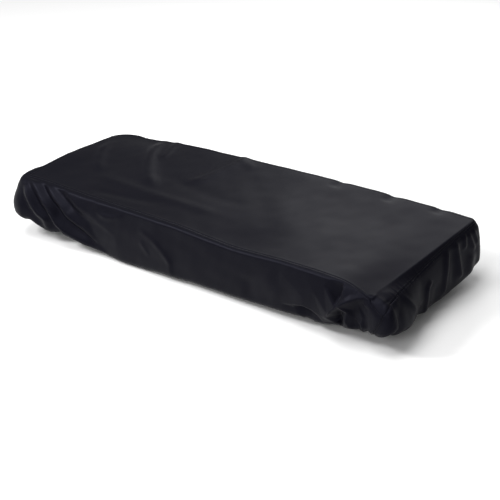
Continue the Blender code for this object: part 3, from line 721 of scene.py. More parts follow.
@dataclass
class HangingCloth:
    """The form that the cloth takes over the piano, before it is parted into panels."""

    corners: tuple[Pair, ...] = ((-0.500, -0.160), (0.485, -0.176), (0.500, 0.160), (-0.500, 0.160))
    edge_radii: tuple[float, ...] = (0.009, 0.009, 0.009, 0.045)
    foot_radii: tuple[float, ...] = (0.060, 0.034, 0.060, 0.060)
    cloth: float = 0.0012
    under_turn: float = math.radians(200)
    shoulder_slant: float = math.radians(20)
    shoulder_turn: float = 0.007
    edge_fade: float = 0.010     # length over which the folds rise below the edge
    slant_done: float = 0.45     # share of a corner seam in which it slants
    creased: Pair = (0.0, 0.145)          # first and last drop of the creased corners
    right_creased: Pair = (0.270, 0.620)  # first and last along of each, on the front
    left_creased: Pair = (-0.530, -0.200)
    right_rounding: float = 0.0011
    left_rounding: float = 0.0034
    lip_from: float = 0.72       # share of the drop where the hem's waves start
    lip_rise: float = 0.28       # share in which they rise
    lip_waves: tuple[Triple, ...] = (  # count round the hem, height, phase
        (23, 0.0022, 0.4), (37, 0.0014, 2.1), (111, 0.0009, 0.3), (173, 0.0006, 1.7))
    top_waves: Waves = Waves(seed=7, shortest=0.035, longest=0.110, height=0.00028)
    wall_waves: Waves = Waves(seed=11, shortest=0.024, longest=0.080, height=0.00035)
    puckers: Puckers = Puckers()
    place_count: int = 2880      # steps round the cover for which the sections are worked out
    share_count: int = 241       # places down each section
    seam_count: int = 4001       # places at which the length along a seam is taken
    slope_probe: float = 0.002   # how far to either side a slope or a facing is taken
    seam_probe: float = 0.0005
    face_probe: float = 0.0008
    spread_probe: float = 0.0004

    def __post_init__(self) -> None:
        """Set out the edge, the foot, the corners' creases and the sections."""
        self.edge = RoundedLine(self.corners, self.edge_radii)
        self.foot = RoundedLine(self.corners, self.foot_radii)
        self.round = self.edge.round
        self.middles = dict(zip(Wall, self.edge.keys[::2]))
        right = CreasedCorner(
            RIGHT_CORNER_LINES, self.right_creased, self.creased, self.right_rounding)
        left = CreasedCorner(LEFT_CORNER_LINES, self.left_creased, self.creased, self.left_rounding)
        self.corner_folds = (right, left)
        self.centre_height = 0.0
        self.centre_height = float(self.top(np.zeros((1, 2)))[0]) - self.cloth
        self.lattice = self.sections(np.linspace(0.0, self.round, self.place_count + 1))

    def place(self, wall: Wall, along: float) -> float:
        """Distance round the edge line of a spot on a wall."""
        return self.middles[wall] + along

    def along(self, wall: Wall, place: Array) -> Array:
        """Distance of places from a wall's middle, the short way round."""
        return np.mod(place - self.middles[wall] + self.round / 2, self.round) - self.round / 2

    def table(self, rows: tuple[Section | SeamDrop, ...], column: str, place: Array) -> Array:
        """Values of one column of a table, as a smooth line with no bump between rows.

        Args:
            rows: The table.
            column: The name of the column.
            place: Places round the edge line.

        Returns:
            The value at each place.
        """
        knots = np.array([np.mod(self.place(row.wall, row.along), self.round) for row in rows])
        order = np.argsort(knots)
        knots, values = knots[order], np.array([getattr(row, column) for row in rows])[order]
        knots = np.concatenate((knots[-2:] - self.round, knots, knots[:2] + self.round))
        values = np.concatenate((values[-2:], values, values[:2]))
        steep = np.diff(values) / np.diff(knots)
        same = steep[:-1] * steep[1:] > 0.0
        mean = 2.0 * steep[:-1] * steep[1:] / np.where(same, steep[:-1] + steep[1:], 1.0)
        slopes = np.concatenate(([0.0], np.where(same, mean, 0.0), [0.0]))
        place = np.mod(place, self.round)
        after = np.clip(np.searchsorted(knots, place, side="right"), 1, len(knots) - 1)
        run = knots[after] - knots[after - 1]
        share = (place - knots[after - 1]) / run
        rise = ease(share)
        tilt = slopes[after - 1] * (1.0 - share) - slopes[after] * share
        bend = run * share * (1.0 - share) * tilt
        return values[after - 1] * (1.0 - rise) + values[after] * rise + bend

    def top(self, plan: Array) -> Array:
        """Height of the outer face of the top.

        Args:
            plan: Plan points, with x and y in the last axis.

        Returns:
            The height at each point.
        """
        x, y = plan[..., 0], plan[..., 1]
        height = self.top_waves.rise(x, y) - self.centre_height
        for row in SWELLS:
            height = height + row.rise(x, y)
        for row in CREASES:
            height = height + row.rise(x, y)
        return height

    def folds(self, place: Array, drop: Array) -> Array:
        """How far the folds stand out of the plain hanging cloth.

        Args:
            place: Places round the edge line.
            drop: Drops from it.

        Returns:
            How far they stand out at each.
        """
        stand = np.zeros(place.shape)
        for wall, rows in FOLDS.items():
            along = self.along(wall, place)
            for row in rows:
                stand += row.rise(along, drop)
        for corner in self.corner_folds:
            stand += corner.stand(self.along(Wall.FRONT, place), drop)
        stand += self.wall_waves.rise(place, drop)
        stand += self.puckers.rise(place, self.along(Wall.RIGHT, place), drop - self.seam(place))
        return stand * ease(drop / self.edge_fade)

    def sections(self, place: Array) -> dict[str, Array]:
        """Section of the plain hanging cloth at each place, at even steps of its length.

        Args:
            place: Places round the edge line.

        Returns:
            Length, and for each step the reach, height, heading and share drawn under.
        """
        edge, shoulder, lean, belly, height, curl, lip = (
            self.table(SECTIONS, column, place)
            for column in ("edge", "shoulder", "lean", "belly", "height", "curl", "lip"))
        point, outward = self.edge.point(place)
        probe = outward * self.slope_probe
        rise = self.top(point + probe) - self.top(point - probe)
        first = -np.arctan(rise / (2.0 * self.slope_probe))
        slant = self.shoulder_slant * ease(shoulder / self.shoulder_turn)
        turn = self.shoulder_turn * ease(shoulder / self.shoulder_turn)
        wall = height - edge - curl - (shoulder + turn) * np.cos(slant)
        head = math.pi / 2 - lean / wall - 4.0 * belly / wall
        foot = math.pi / 2 - lean / wall + 4.0 * belly / wall
        over, under, straight = head - slant - first, self.under_turn - foot, np.zeros(place.shape)
        lengths = (edge * over, shoulder, turn, wall, curl * under, lip)
        turns = (over, straight, slant, foot - head, under, straight)
        total = sum(lengths)
        drop = np.linspace(0.0, 1.0, self.share_count)[None, :] * total[:, None]
        heading = np.repeat(first[:, None], self.share_count, axis=1)
        start = np.zeros(place.shape)
        for length, bend in zip(lengths, turns):
            done = np.clip((drop - start[:, None]) / np.maximum(length, 1e-6)[:, None], 0.0, 1.0)
            heading = heading + bend[:, None] * done
            start = start + length
        step = np.diff(drop, axis=1)
        middle = (heading[:, 1:] + heading[:, :-1]) / 2
        zero = np.zeros((len(place), 1))
        return {
            "length": total,
            "reach": np.concatenate((zero, np.cumsum(np.cos(middle) * step, axis=1)), axis=1),
            "height": -np.concatenate((zero, np.cumsum(np.sin(middle) * step, axis=1)), axis=1),
            "heading": heading,
            "drawn": ease((heading - math.pi / 2) / (self.under_turn - math.pi / 2)),
        }

    def hem_drop(self, place: Array) -> Array:
        """Drop of the hem at places round the edge."""
        index = np.mod(place, self.round) / self.round * self.place_count
        return np.interp(index, np.arange(self.place_count + 1), self.lattice["length"])

    def between(self, name: str, place: Array, share: Array) -> Array:
        """One value of the sections.

        Args:
            name: Which value.
            place: Places round the edge line.
            share: Shares of the sections' length there.

        Returns:
            The value at each place.
        """
        column = np.mod(place, self.round) / self.round * self.place_count
        row = np.clip(share, 0.0, 1.0) * (self.share_count - 1)
        return between_steps(self.lattice[name], column, row)

    def foot_point(self, place: Array) -> tuple[Array, Array]:
        """Points of the foot line that belong to places round the edge line.

        Args:
            place: Places round the edge line.

        Returns:
            Plan points and unit directions, one row for each place.
        """
        keys = np.append(self.edge.keys, self.edge.keys[0] + self.round)
        values = np.append(self.foot.keys, self.foot.keys[0] + self.foot.round)
        wrapped = np.mod(place - self.edge.keys[0], self.round) + self.edge.keys[0]
        return self.foot.point(np.interp(wrapped, keys, values))

    def hang(self, place: Array, drop: Array) -> Array:
        """Points of the outer face of the cloth.

        Args:
            place: Places round the edge line, in one row.
            drop: Drops from it; those below zero lie on the top.

        Returns:
            One point for each place and drop.
        """
        point, outward = self.edge.point(place)
        foot, foot_outward = self.foot_point(place)
        share = drop / self.hem_drop(place)
        out, up, turn, under = (
            self.between(name, place, share) for name in ("reach", "height", "heading", "drawn"))
        stand = self.folds(place, drop)
        lip_share = ease((share - self.lip_from) / self.lip_rise)
        for waves, wave_height, phase in self.lip_waves:
            wave = np.sin(2 * math.pi * waves * place / self.round + phase)
            stand = stand + lip_share * wave_height * wave
        onto_top = drop < 0.0
        out = np.where(onto_top, drop, out + stand * np.sin(turn))
        up = np.where(onto_top, 0.0, up + stand * np.cos(turn))
        under = np.where(onto_top, 0.0, under)[:, None]
        line = point * (1.0 - under) + foot * under
        facing = outward * (1.0 - under) + foot_outward * under
        facing = facing / np.linalg.norm(facing, axis=1, keepdims=True)
        plan = line + facing * out[:, None]
        return np.column_stack((plan, self.top(np.where(onto_top[:, None], plan, point)) + up))

    def drape(self, plan: Array) -> Array:
        """Drape cloth that is spread flat over the edge.

        Args:
            plan: Plan points of the cloth, spread flat round the edge line.

        Returns:
            Points of its outer face as it lies and hangs.
        """
        place, distance = self.edge.nearest(plan)
        lying = np.column_stack((plan, self.top(plan)))
        hanging = self.hang(place, np.maximum(distance, 0.0))
        return np.where(distance[:, None] > 0.0, hanging, lying)

    def seam(self, place: Array) -> Array:
        """Drop of the seam round the top panel."""
        return self.table(SEAM_DROPS, "drop", place)

    def seam_length(self, first: float, last: float, shares: Array) -> Array:
        """Places between two others, spread evenly along the seam round the top panel.

        Args:
            first: The place where the stretch starts.
            last: The place where it ends.
            shares: Shares of the stretch's length.

        Returns:
            The places.
        """
        place = np.linspace(first, last, self.seam_count)
        point, outward = self.edge.point(place)
        drop = self.seam(place)
        spread = point + outward * np.maximum(drop, 0.0)[:, None]
        spread = np.linalg.norm(np.diff(spread, axis=0), axis=1)
        steps = np.hypot((spread + np.diff(place)) / 2, np.diff(drop))
        length = np.concatenate(([0.0], np.cumsum(steps)))
        return np.interp(shares * length[-1], length, place)

    def seam_slope(self, place: Array) -> Array:
        """Drop of the top seam for each unit of place, at places round the edge."""
        probe = self.seam_probe
        return (self.seam(place + probe) - self.seam(place - probe)) / (2 * probe)

    def seam_distance(self, place: Array, drop: Array) -> Array:
        """Distance of spots on the cloth from the seam round the top panel; above zero below it."""
        return (drop - self.seam(place)) / np.hypot(1.0, self.seam_slope(place))

    def off_face(self, place: Array, drop: Array, height: float) -> Array:
        """Points that lie off the outer face.

        Args:
            place: Places round the edge line.
            drop: Drops from it.
            height: How far off the face they lie.

        Returns:
            The points.
        """
        probe = self.face_probe
        across = self.hang(place + probe, drop) - self.hang(place - probe, drop)
        down = self.hang(place, drop + probe) - self.hang(place, drop - probe)
        out = np.cross(down, across)
        return self.hang(place, drop) + out / np.linalg.norm(out, axis=1, keepdims=True) * height

    def spread(self, place: Array, drop: Array) -> Array:
        """Real length on the cloth for each unit along the edge line.

        Args:
            place: Places round the edge line.
            drop: Drops from it.

        Returns:
            The length at each spot.
        """
        probe = self.spread_probe
        step = self.hang(place + probe, drop) - self.hang(place - probe, drop)
        return np.linalg.norm(step, axis=1) / (2 * probe)

    def corner(self, name: Corner, share: Array | float) -> Array:
        """Places of a corner seam.

        Args:
            name: Which corner.
            share: Shares of the way from the top seam to the hem.

        Returns:
            The place at each share.
        """
        seam = CORNER_SEAMS[name]
        slanted = np.clip(np.asarray(share) / self.slant_done, 0.0, 1.0)
        return self.place(seam.wall, seam.along) + seam.slant * slanted


# ---------------------------------------------------------------- objects and nodes

Link = tuple[bpy.types.Node, str | int, bpy.types.Node, str | int]


def add_object(name: str, data: bpy.types.ID) -> bpy.types.Object:
    """Put a new object in the scene.

    Args:
        name: The object's name.
        data: Its mesh, light or camera.

    Returns:
        The object.
    """
    item = bpy.data.objects.new(name, data)
    bpy.context.scene.collection.objects.link(item)
    return item


def set_values(node: bpy.types.Node, values: dict[str | int, object]) -> None:
    """Set constants on a node's sockets, by name or number."""
    for name, value in values.items():
        node.inputs[name].default_value = value


def add_node(tree: bpy.types.NodeTree, kind: str, values: dict[str | int, object] | None = None,
             **settings: str) -> bpy.types.Node:
    """Add a node to a tree.

    Args:
        tree: The tree.
        kind: The node's type.
        values: Constants for its sockets, by name or number.
        **settings: Its own settings, which come before the sockets.

    Returns:
        The node.
    """
    node = tree.nodes.new(kind)
    for name, setting in settings.items():
        setattr(node, name, setting)
    set_values(node, values or {})
    return node


def link_nodes(tree: bpy.types.NodeTree, *rows: Link) -> None:
    """Link nodes, each row from a node's output to another's input."""
    for source, output, target, name in rows:
        tree.links.new(source.outputs[output], target.inputs[name])


def new_material(
        name: str, values: dict[str, float | Colour]) -> tuple[bpy.types.Material, bpy.types.Node]:
    """Make a material.

    Args:
        name: Its name.
        values: Constants for its shader's sockets.

    Returns:
        The material and its shader.
    """
    made = bpy.data.materials.new(name)
    made.use_nodes = True
    shader = made.node_tree.nodes["Principled BSDF"]
    set_values(shader, values)
    return made, shader


def plain(item: bpy.types.Object) -> bpy.types.Object:
    """Turn an object's evaluated form into its plain mesh and remove its modifiers.

    Args:
        item: The object.

    Returns:
        The same object.
    """
    bpy.context.view_layer.update()
    evaluated = item.evaluated_get(bpy.context.evaluated_depsgraph_get())
    mesh = bpy.data.meshes.new_from_object(evaluated)
    item.modifiers.clear()
    item.data = mesh
    mesh.name = item.name
    return item


# ---------------------------------------------------------------- finishes

@dataclass(frozen=True)
class BlackPolyester:
    """Black woven polyester with a satin shine; its weave follows the cloth's own map."""

    colour: Colour = (0.0023, 0.0022, 0.0040, 1.0)
    worn: Colour = (0.0039, 0.0038, 0.0061, 1.0)
    shine: Colour = (0.72, 0.73, 1.00, 1.0)
    gloss: float = 0.060
    refraction: float = 1.5
    roughness: float = 0.46
    roughness_spread: float = 0.04
    thread: float = 0.00045
    weave_depth: float = 0.00002
    weave_strength: float = 0.6
    dust_scale: float = 9.0
    dust_detail: float = 5.0
    dust_range: Pair = (0.3, 0.7)

    def material(self, name: str) -> bpy.types.Material:
        """Make the cloth's material: two sets of threads that cross, under a faint dust.

        Args:
            name: The material's name.

        Returns:
            The material.
        """
        made, shader = new_material(name, {
            "Metallic": 0.0, "IOR": self.refraction,
            "Specular IOR Level": self.gloss, "Specular Tint": self.shine})
        tree = made.node_tree
        chart = add_node(tree, "ShaderNodeUVMap", uv_map="cloth")
        split = add_node(tree, "ShaderNodeSeparateXYZ")
        weave = add_node(tree, "ShaderNodeMath", operation="MULTIPLY")
        link_nodes(tree, (chart, "UV", split, "Vector"))
        for number, axis in enumerate(("X", "Y")):
            turns = add_node(
                tree, "ShaderNodeMath", {1: 2 * math.pi / self.thread}, operation="MULTIPLY")
            rounded = add_node(tree, "ShaderNodeMath", operation="SINE")
            link_nodes(
                tree, (split, axis, turns, 0), (turns, 0, rounded, 0), (rounded, 0, weave, number))
        where = add_node(tree, "ShaderNodeTexCoord")
        dust = add_node(
            tree, "ShaderNodeTexNoise", {"Scale": self.dust_scale, "Detail": self.dust_detail})
        tint = add_node(tree, "ShaderNodeMix", {"A": self.colour, "B": self.worn}, data_type="RGBA")
        dulled = add_node(tree, "ShaderNodeMapRange", {
            "From Min": self.dust_range[0], "From Max": self.dust_range[1],
            "To Min": self.roughness - self.roughness_spread,
            "To Max": self.roughness + self.roughness_spread})
        bump = add_node(
            tree, "ShaderNodeBump", {"Strength": self.weave_strength, "Distance": self.weave_depth})
        link_nodes(
            tree, (where, "Object", dust, "Vector"), (dust, "Fac", tint, "Factor"),
            (tint, "Result", shader, "Base Color"), (dust, "Fac", dulled, "Value"),
            (dulled, "Result", shader, "Roughness"), (weave, 0, bump, "Height"),
            (bump, "Normal", shader, "Normal"))
        return made


@dataclass(frozen=True)
class BlackThread:
    """Polyester sewing thread, twisted, a shade lighter than the cloth and a little glossier."""

    colour: Colour = (0.0075, 0.0076, 0.0095, 1.0)
    gloss: float = 0.16
    roughness: float = 0.42
    twist_scale: float = 900.0
    twist_depth: float = 0.0001
    twist_strength: float = 0.5

    def material(self, name: str) -> bpy.types.Material:
        """Make the thread's material, with its twist.

        Args:
            name: The material's name.

        Returns:
            The material.
        """
        made, shader = new_material(name, {
            "Base Color": self.colour, "Roughness": self.roughness,
            "Specular IOR Level": self.gloss})
        tree = made.node_tree
        where = add_node(tree, "ShaderNodeTexCoord")
        twist = add_node(
            tree, "ShaderNodeTexWave", {"Scale": self.twist_scale}, bands_direction="DIAGONAL")
        bump = add_node(
            tree, "ShaderNodeBump", {"Strength": self.twist_strength, "Distance": self.twist_depth})
        link_nodes(tree, (where, "Object", twist, "Vector"), (twist, "Fac", bump, "Height"),
                   (bump, "Normal", shader, "Normal"))
        return made


# ---------------------------------------------------------------- panels

@dataclass(frozen=True)
class Seam:
    """How two panels meet: each edge rolls in beside the other, and its allowance stands inward."""

    roll: float = 0.0003      # how far the rolled edge sinks
    reach: float = 0.0009     # how far from the seam the roll starts
    welt: float = 0.0005      # how far the cloth stands proud beside the roll
    welt_reach: float = 0.0030
    welt_steep: float = 1.6
    allowance: float = 0.0050

    def rise(self, distance: Array) -> Array:
        """Height of the cloth beside the seam.

        Args:
            distance: Distances from the seam.

        Returns:
            The height at each.
        """
        sunk = self.roll * np.exp(-(distance / self.reach) ** 2)
        aside = (distance - self.welt_reach) / self.welt_reach * self.welt_steep
        proud = self.welt * np.exp(-aside ** 2)
        return proud - sunk


SEAM = Seam()


def normals(points: Array) -> Array:
    """Outward unit normals of a grid, whose columns run round the cover and rows go down."""
    facing = np.cross(np.gradient(points, axis=1), np.gradient(points, axis=0))
    return facing / np.maximum(np.linalg.norm(facing, axis=-1, keepdims=True), 1e-12)


def sheet_mesh(name: str, points: Array, chart: Array, thickness: float) -> bpy.types.Object:
    """Make a closed thin sheet from a grid of points.

    Args:
        name: The object's name.
        points: The outer face, by column round the cover and row down it.
        chart: The cloth's own map, in metres, at the same grid.
        thickness: Thickness of the cloth, which grows inward.

    Returns:
        The object, with its modifier applied.
    """
    columns, rows = points.shape[:2]
    index = np.arange(columns * rows).reshape(columns, rows)
    faces = np.stack((index[:-1, 1:], index[1:, 1:], index[1:, :-1], index[:-1, :-1]), axis=-1)
    mesh = bpy.data.meshes.new(name)
    mesh.from_pydata(points.reshape(-1, 3).tolist(), [], faces.reshape(-1, 4).tolist())
    mesh.shade_smooth()
    layer = mesh.uv_layers.new(name="cloth")
    corners = np.empty(len(mesh.loops), dtype=np.int32)
    mesh.loops.foreach_get("vertex_index", corners)
    layer.data.foreach_set("uv", chart.reshape(-1, 2)[corners].astype(np.float32).ravel())
    sheet = add_object(name, mesh)
    thicken = sheet.modifiers.new("thickness", "SOLIDIFY")
    thicken.thickness = thickness
    thicken.offset = -1.0
    return plain(sheet)


def closer_at_ends(count: int, draw: float = 0.35) -> Array:
    """Shares from 0 to 1, closer together at both ends.

    Args:
        count: How many.
        draw: How much closer than even steps they are there.

    Returns:
        The shares.
    """
    share = np.linspace(0.0, 1.0, count)
    return share - draw * np.sin(2 * math.pi * share) / (2 * math.pi)


def with_allowance(
        points: Array, chart: Array, depth: float, bottom: bool = False) -> tuple[Array, Array]:
    """Turn a grid's seam edges straight inward by the seam allowance.

    Args:
        points: A grid of points.
        chart: The cloth's own map at them.
        depth: How deep the allowance stands.
        bottom: Whether the last row has a seam too.

    Returns:
        The points and the map, with rows and columns added.
    """
    grids = [points, chart, normals(points)]
    edges = [(1, 0), (1, -1), (0, 0), (0, -1)] if bottom else [(1, 0), (0, 0), (0, -1)]
    for axis, end in edges:
        rims = [np.take(grid, [end], axis=axis) for grid in grids]
        rims[0] = rims[0] - rims[2] * depth
        grids = [np.concatenate((rim, grid) if end == 0 else (grid, rim), axis=axis)
                 for rim, grid in zip(rims, grids)]
    return grids[0], grids[1]


@dataclass(frozen=True)
class WallPanel:
    """A side of the cover, between two corner seams, from the top seam to the hem."""

    name: str
    node: str
    left: Corner
    right: Corner
    flat: Pair
    finish: BlackPolyester = BlackPolyester()
    step: float = 0.0022
    rows: int = 91
    closer: float = 0.05         # how much closer together its rows are at the seam
    thickness: float = 0.0009
    casing: float = 0.010        # cloth turned back inside at the hem, round the elastic
    casing_turn: float = 0.0014
    turn_rows: int = 5           # rows of the turn there, and of the cloth behind it
    back_rows: int = 4
    turn_map: Pair = (0.001, 0.004)  # length on the map of the turn's first row, and of the turn

    def build(self, cloth: HangingCloth) -> bpy.types.Object:
        """Make the panel's sheet.

        Args:
            cloth: The form that it follows.

        Returns:
            The panel.
        """
        share = np.linspace(0.0, 1.0, self.rows)
        start = cloth.corner(self.left, share)
        end = cloth.corner(self.right, share)
        end = np.where(end < start, end + cloth.round, end)
        columns = round(float(end[0] - start[0]) / self.step) + 1
        top_row = cloth.seam_length(start[0], end[0], closer_at_ends(columns))
        across = (top_row - start[0]) / (end[0] - start[0])
        place = start[None, :] + across[:, None] * (end - start)[None, :]
        flat = place.ravel()
        seam = cloth.seam(place[:, :1])
        falls = share - self.closer * np.sin(math.pi * share) * (1.0 - share)
        drop = seam + falls * (cloth.hem_drop(flat).reshape(place.shape) - seam)
        points = cloth.hang(flat, drop.ravel()).reshape(columns, self.rows, 3)
        facing = normals(points)
        distance = cloth.seam_distance(flat, drop.ravel()).reshape(place.shape)
        distance = np.minimum(distance, np.minimum(place - start[None, :], end[None, :] - place))
        points = points + facing * SEAM.rise(distance)[..., None]
        points, chart = self.with_casing(points, facing, np.stack((place, drop), axis=-1))
        points, chart = with_allowance(points, chart, SEAM.allowance)
        made = sheet_mesh(self.name, points, chart, self.thickness)
        made.data.materials.append(self.finish.material(self.name + "_cloth"))
        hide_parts(self.node)
        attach(made, "root")
        return made

    def with_casing(self, points: Array, facing: Array, chart: Array) -> tuple[Array, Array]:
        """Turn the cloth back inside at the hem.

        Args:
            points: The panel, by column and row.
            facing: Its normals.
            chart: The cloth's own map.

        Returns:
            The points and the map, with rows added for the turn and the cloth behind it.
        """
        end, out = points[:, -1], facing[:, -1]
        ahead = points[:, -1] - points[:, -2]
        ahead = ahead / np.linalg.norm(ahead, axis=1, keepdims=True)
        centre = end - out * self.casing_turn
        added = []
        for turn in np.linspace(0.0, math.pi, self.turn_rows + 1)[1:]:
            bent = out * math.cos(turn) + ahead * math.sin(turn)
            added.append(centre + self.casing_turn * bent)
        for back in np.linspace(0.0, self.casing, self.back_rows + 1)[1:]:
            added.append(centre - out * self.casing_turn - ahead * back)
        grown = np.concatenate((points, np.stack(added, axis=1)), axis=1)
        extra = np.repeat(chart[:, -1:], len(added), axis=1)
        first, turned = self.turn_map
        extra[..., 1] += np.linspace(first, self.casing + turned, len(added))
        return grown, np.concatenate((chart, extra), axis=1)


@dataclass(frozen=True)
class TopPanel:
    """The top of the cover, inside the seam round its edge."""

    name: str = "piano_top_cloth"
    node: str = "top_panel"
    flat: Pair = (1.020, 0.372)
    finish: BlackPolyester = BlackPolyester()
    columns: int = 360
    rows: int = 124
    thickness: float = 0.0009

    def build(self, cloth: HangingCloth) -> bpy.types.Object:
        """Make the panel's sheet.

        Args:
            cloth: The form that it follows.

        Returns:
            The panel.
        """
        plan = self.outline_filled(cloth)
        place, distance = cloth.edge.nearest(plan)
        inward = -cloth.seam_distance(place.ravel(), distance.ravel()).reshape(place.shape)
        points = cloth.drape(plan.reshape(-1, 2)).reshape(plan.shape[:2] + (3,))[:, ::-1]
        points = points + normals(points) * SEAM.rise(np.maximum(inward, 0.0)[:, ::-1])[..., None]
        points, chart = with_allowance(points, plan[:, ::-1], SEAM.allowance, bottom=True)
        made = sheet_mesh(self.name, points, chart, self.thickness)
        made.data.materials.append(self.finish.material(self.name + "_cloth"))
        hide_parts(self.node)
        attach(made, "root")
        return made

    def outline_filled(self, cloth: HangingCloth) -> Array:
        """Plan points of the panel, spread flat, filled in between its four outlines.

        Args:
            cloth: Gives the seams.

        Returns:
            Points by column from the left and row from the front.
        """
        u, v = closer_at_ends(self.columns), closer_at_ends(self.rows)
        tip = float(cloth.corner(Corner.FRONT_RIGHT, 0.0))
        right_back, left_back, left_front = cloth.edge.keys[3::2]

        def outline(first: float, last: float, share: Array) -> Array:
            """Plan points of one side of the seam.

            Args:
                first: Place where the side starts.
                last: Place where it ends.
                share: Shares of its length.

            Returns:
                The point at each share.
            """
            place = cloth.seam_length(first, last, share)
            point, outward = cloth.edge.point(place)
            return point + outward * cloth.seam(place)[:, None]

        front = outline(left_front - cloth.round, tip, u)
        right = outline(tip, right_back, v)
        back = outline(right_back, left_back, 1.0 - u[::-1])[::-1]
        left = outline(left_back, left_front, 1.0 - v[::-1])[::-1]
        across, up = u[:, None, None], v[None, :, None]
        plan = (1 - up) * front[:, None] + up * back[:, None]
        plan = plan + (1 - across) * left[None] + across * right[None]
        plan -= (1 - across) * (1 - up) * front[0] + across * (1 - up) * front[-1]
        plan -= (1 - across) * up * back[0] + across * up * back[-1]
        return plan


# ---------------------------------------------------------------- stitches

@dataclass(frozen=True)
class Stitching:
    """Rows of stitches beside the seams, set along their paths by Geometry Nodes."""

    name: str = "seam_stitches"
    pitch: float = 0.0042
    length: float = 0.0030
    radius: float = 0.00030
    uneven: float = 0.15
    seed: int = 5
    on_top: float = 0.0050       # how far from its seam the row on the top lies
    at_corner: float = 0.0032    # how far from theirs the two rows down the front right corner lie
    tip_left: float = 0.058      # length of the top's tip that has no row
    corner_from: float = 0.05    # shares of the corner seam between which it has its two rows
    corner_to: float = 0.80
    proud: float = 0.5           # share of the radius by which a stitch's middle clears the cloth
    top_points: int = 3000
    corner_points: int = 240
    sides: int = 6
    rings: int = 4
    finish: BlackThread = BlackThread()

    def build(self, cloth: HangingCloth) -> bpy.types.Object:
        """Make the stitches.

        Args:
            cloth: The form that they follow.

        Returns:
            One plain mesh of all the stitches.
        """
        rows = [self.round_the_top(cloth)]
        rows += [self.down_the_corner(cloth, side) for side in (-1.0, 1.0)]
        mesh = bpy.data.meshes.new(self.name)
        mesh.from_pydata(np.concatenate(rows).tolist(), chained([len(row) for row in rows]), [])
        paths = add_object(self.name, mesh)
        tree = self.tree(self.finish.material("seam_thread"))
        sizes = {"Pitch": self.pitch, "Length": self.length, "Radius": self.radius,
                 "Uneven": self.uneven, "Seed": self.seed}
        modifier = paths.modifiers.new("stitches", "NODES")
        modifier.node_group = tree
        for socket in tree.interface.items_tree:
            if socket.name in sizes:
                modifier[socket.identifier] = sizes[socket.name]
        made = plain(paths)
        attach(made, "root")
        return made

    def round_the_top(self, cloth: HangingCloth) -> Array:
        """Path of the row on the top, from one side of its front right tip round to the other.

        Args:
            cloth: The form that it follows.

        Returns:
            Its points.
        """
        tip = float(cloth.corner(Corner.FRONT_RIGHT, 0.0))
        place = cloth.seam_length(tip, tip + cloth.round, np.linspace(0.0, 1.0, self.top_points))
        steep = cloth.seam_slope(place)
        slope = np.hypot(1.0, steep)
        drop = cloth.seam(place)
        place = place + self.on_top * steep / slope / cloth.spread(place, drop)
        drop = drop - self.on_top / slope
        path = cloth.off_face(place, drop, SEAM.rise(self.on_top) + self.radius * self.proud)
        gone = np.concatenate(([0.0], np.cumsum(np.linalg.norm(np.diff(path, axis=0), axis=1))))
        return path[(gone > self.tip_left) & (gone < gone[-1] - self.tip_left)]

    def down_the_corner(self, cloth: HangingCloth, side: float) -> Array:
        """Path of a row down the front right corner's seam.

        Args:
            cloth: The form that it follows.
            side: -1 for the left of the seam, 1 for its right.

        Returns:
            Its points.
        """
        share = np.linspace(self.corner_from, self.corner_to, self.corner_points)
        place = cloth.corner(Corner.FRONT_RIGHT, share)
        seam = cloth.seam(place[:1])
        drop = seam + share * (cloth.hem_drop(place) - seam)
        place = place + side * self.at_corner / cloth.spread(place, drop)
        return cloth.off_face(place, drop, SEAM.rise(self.at_corner) + self.radius * self.proud)

    def tree(self, thread: bpy.types.Material) -> bpy.types.NodeTree:
        """Make the node tree that sets stitches of one size along a path.

        Args:
            thread: The stitches' material.

        Returns:
            The tree.
        """
        tree = bpy.data.node_groups.new("stitches", "GeometryNodeTree")
        inputs = {"Path": "Geometry", "Pitch": "Float", "Length": "Float", "Radius": "Float",
                  "Uneven": "Float", "Seed": "Int"}
        for name, kind in inputs.items():
            tree.interface.new_socket(name, in_out="INPUT", socket_type="NodeSocket" + kind)
        tree.interface.new_socket("Stitches", in_out="OUTPUT", socket_type="NodeSocketGeometry")
        start, end = add_node(tree, "NodeGroupInput"), add_node(tree, "NodeGroupOutput")
        curve = add_node(tree, "GeometryNodeMeshToCurve")
        spots = add_node(tree, "GeometryNodeCurveToPoints", mode="LENGTH")
        ball = add_node(
            tree, "GeometryNodeMeshUVSphere", {"Segments": self.sides, "Rings": self.rings})
        half = add_node(tree, "ShaderNodeMath", {1: 0.5}, operation="MULTIPLY")
        size = add_node(tree, "ShaderNodeCombineXYZ")
        shape = add_node(tree, "GeometryNodeTransform")
        low = add_node(tree, "ShaderNodeMath", {0: 1.0}, operation="SUBTRACT")
        vary = add_node(
            tree, "FunctionNodeRandomValue", {"Max": (1.0, 1.0, 1.0)}, data_type="FLOAT_VECTOR")
        copies = add_node(tree, "GeometryNodeInstanceOnPoints")
        smooth = add_node(tree, "GeometryNodeSetShadeSmooth")
        real = add_node(tree, "GeometryNodeRealizeInstances")
        paint = add_node(tree, "GeometryNodeSetMaterial", {"Material": thread})
        link_nodes(
            tree, (start, "Path", curve, "Mesh"), (curve, "Curve", spots, "Curve"),
            (start, "Pitch", spots, "Length"), (ball, "Mesh", shape, "Geometry"),
            (start, "Radius", size, "X"), (start, "Radius", size, "Y"), (start, "Length", half, 0),
            (half, "Value", size, "Z"), (size, "Vector", shape, "Scale"),
            (shape, "Geometry", smooth, "Geometry"), (smooth, "Geometry", copies, "Instance"),
            (spots, "Points", copies, "Points"), (spots, "Rotation", copies, "Rotation"),
            (start, "Seed", vary, "Seed"), (start, "Uneven", low, 1), (low, "Value", vary, "Min"),
            (vary, 0, copies, "Scale"), (copies, "Instances", real, "Geometry"),
            (real, "Geometry", paint, "Geometry"), (paint, "Geometry", end, "Stitches"))
        return tree


# ---------------------------------------------------------------- studio

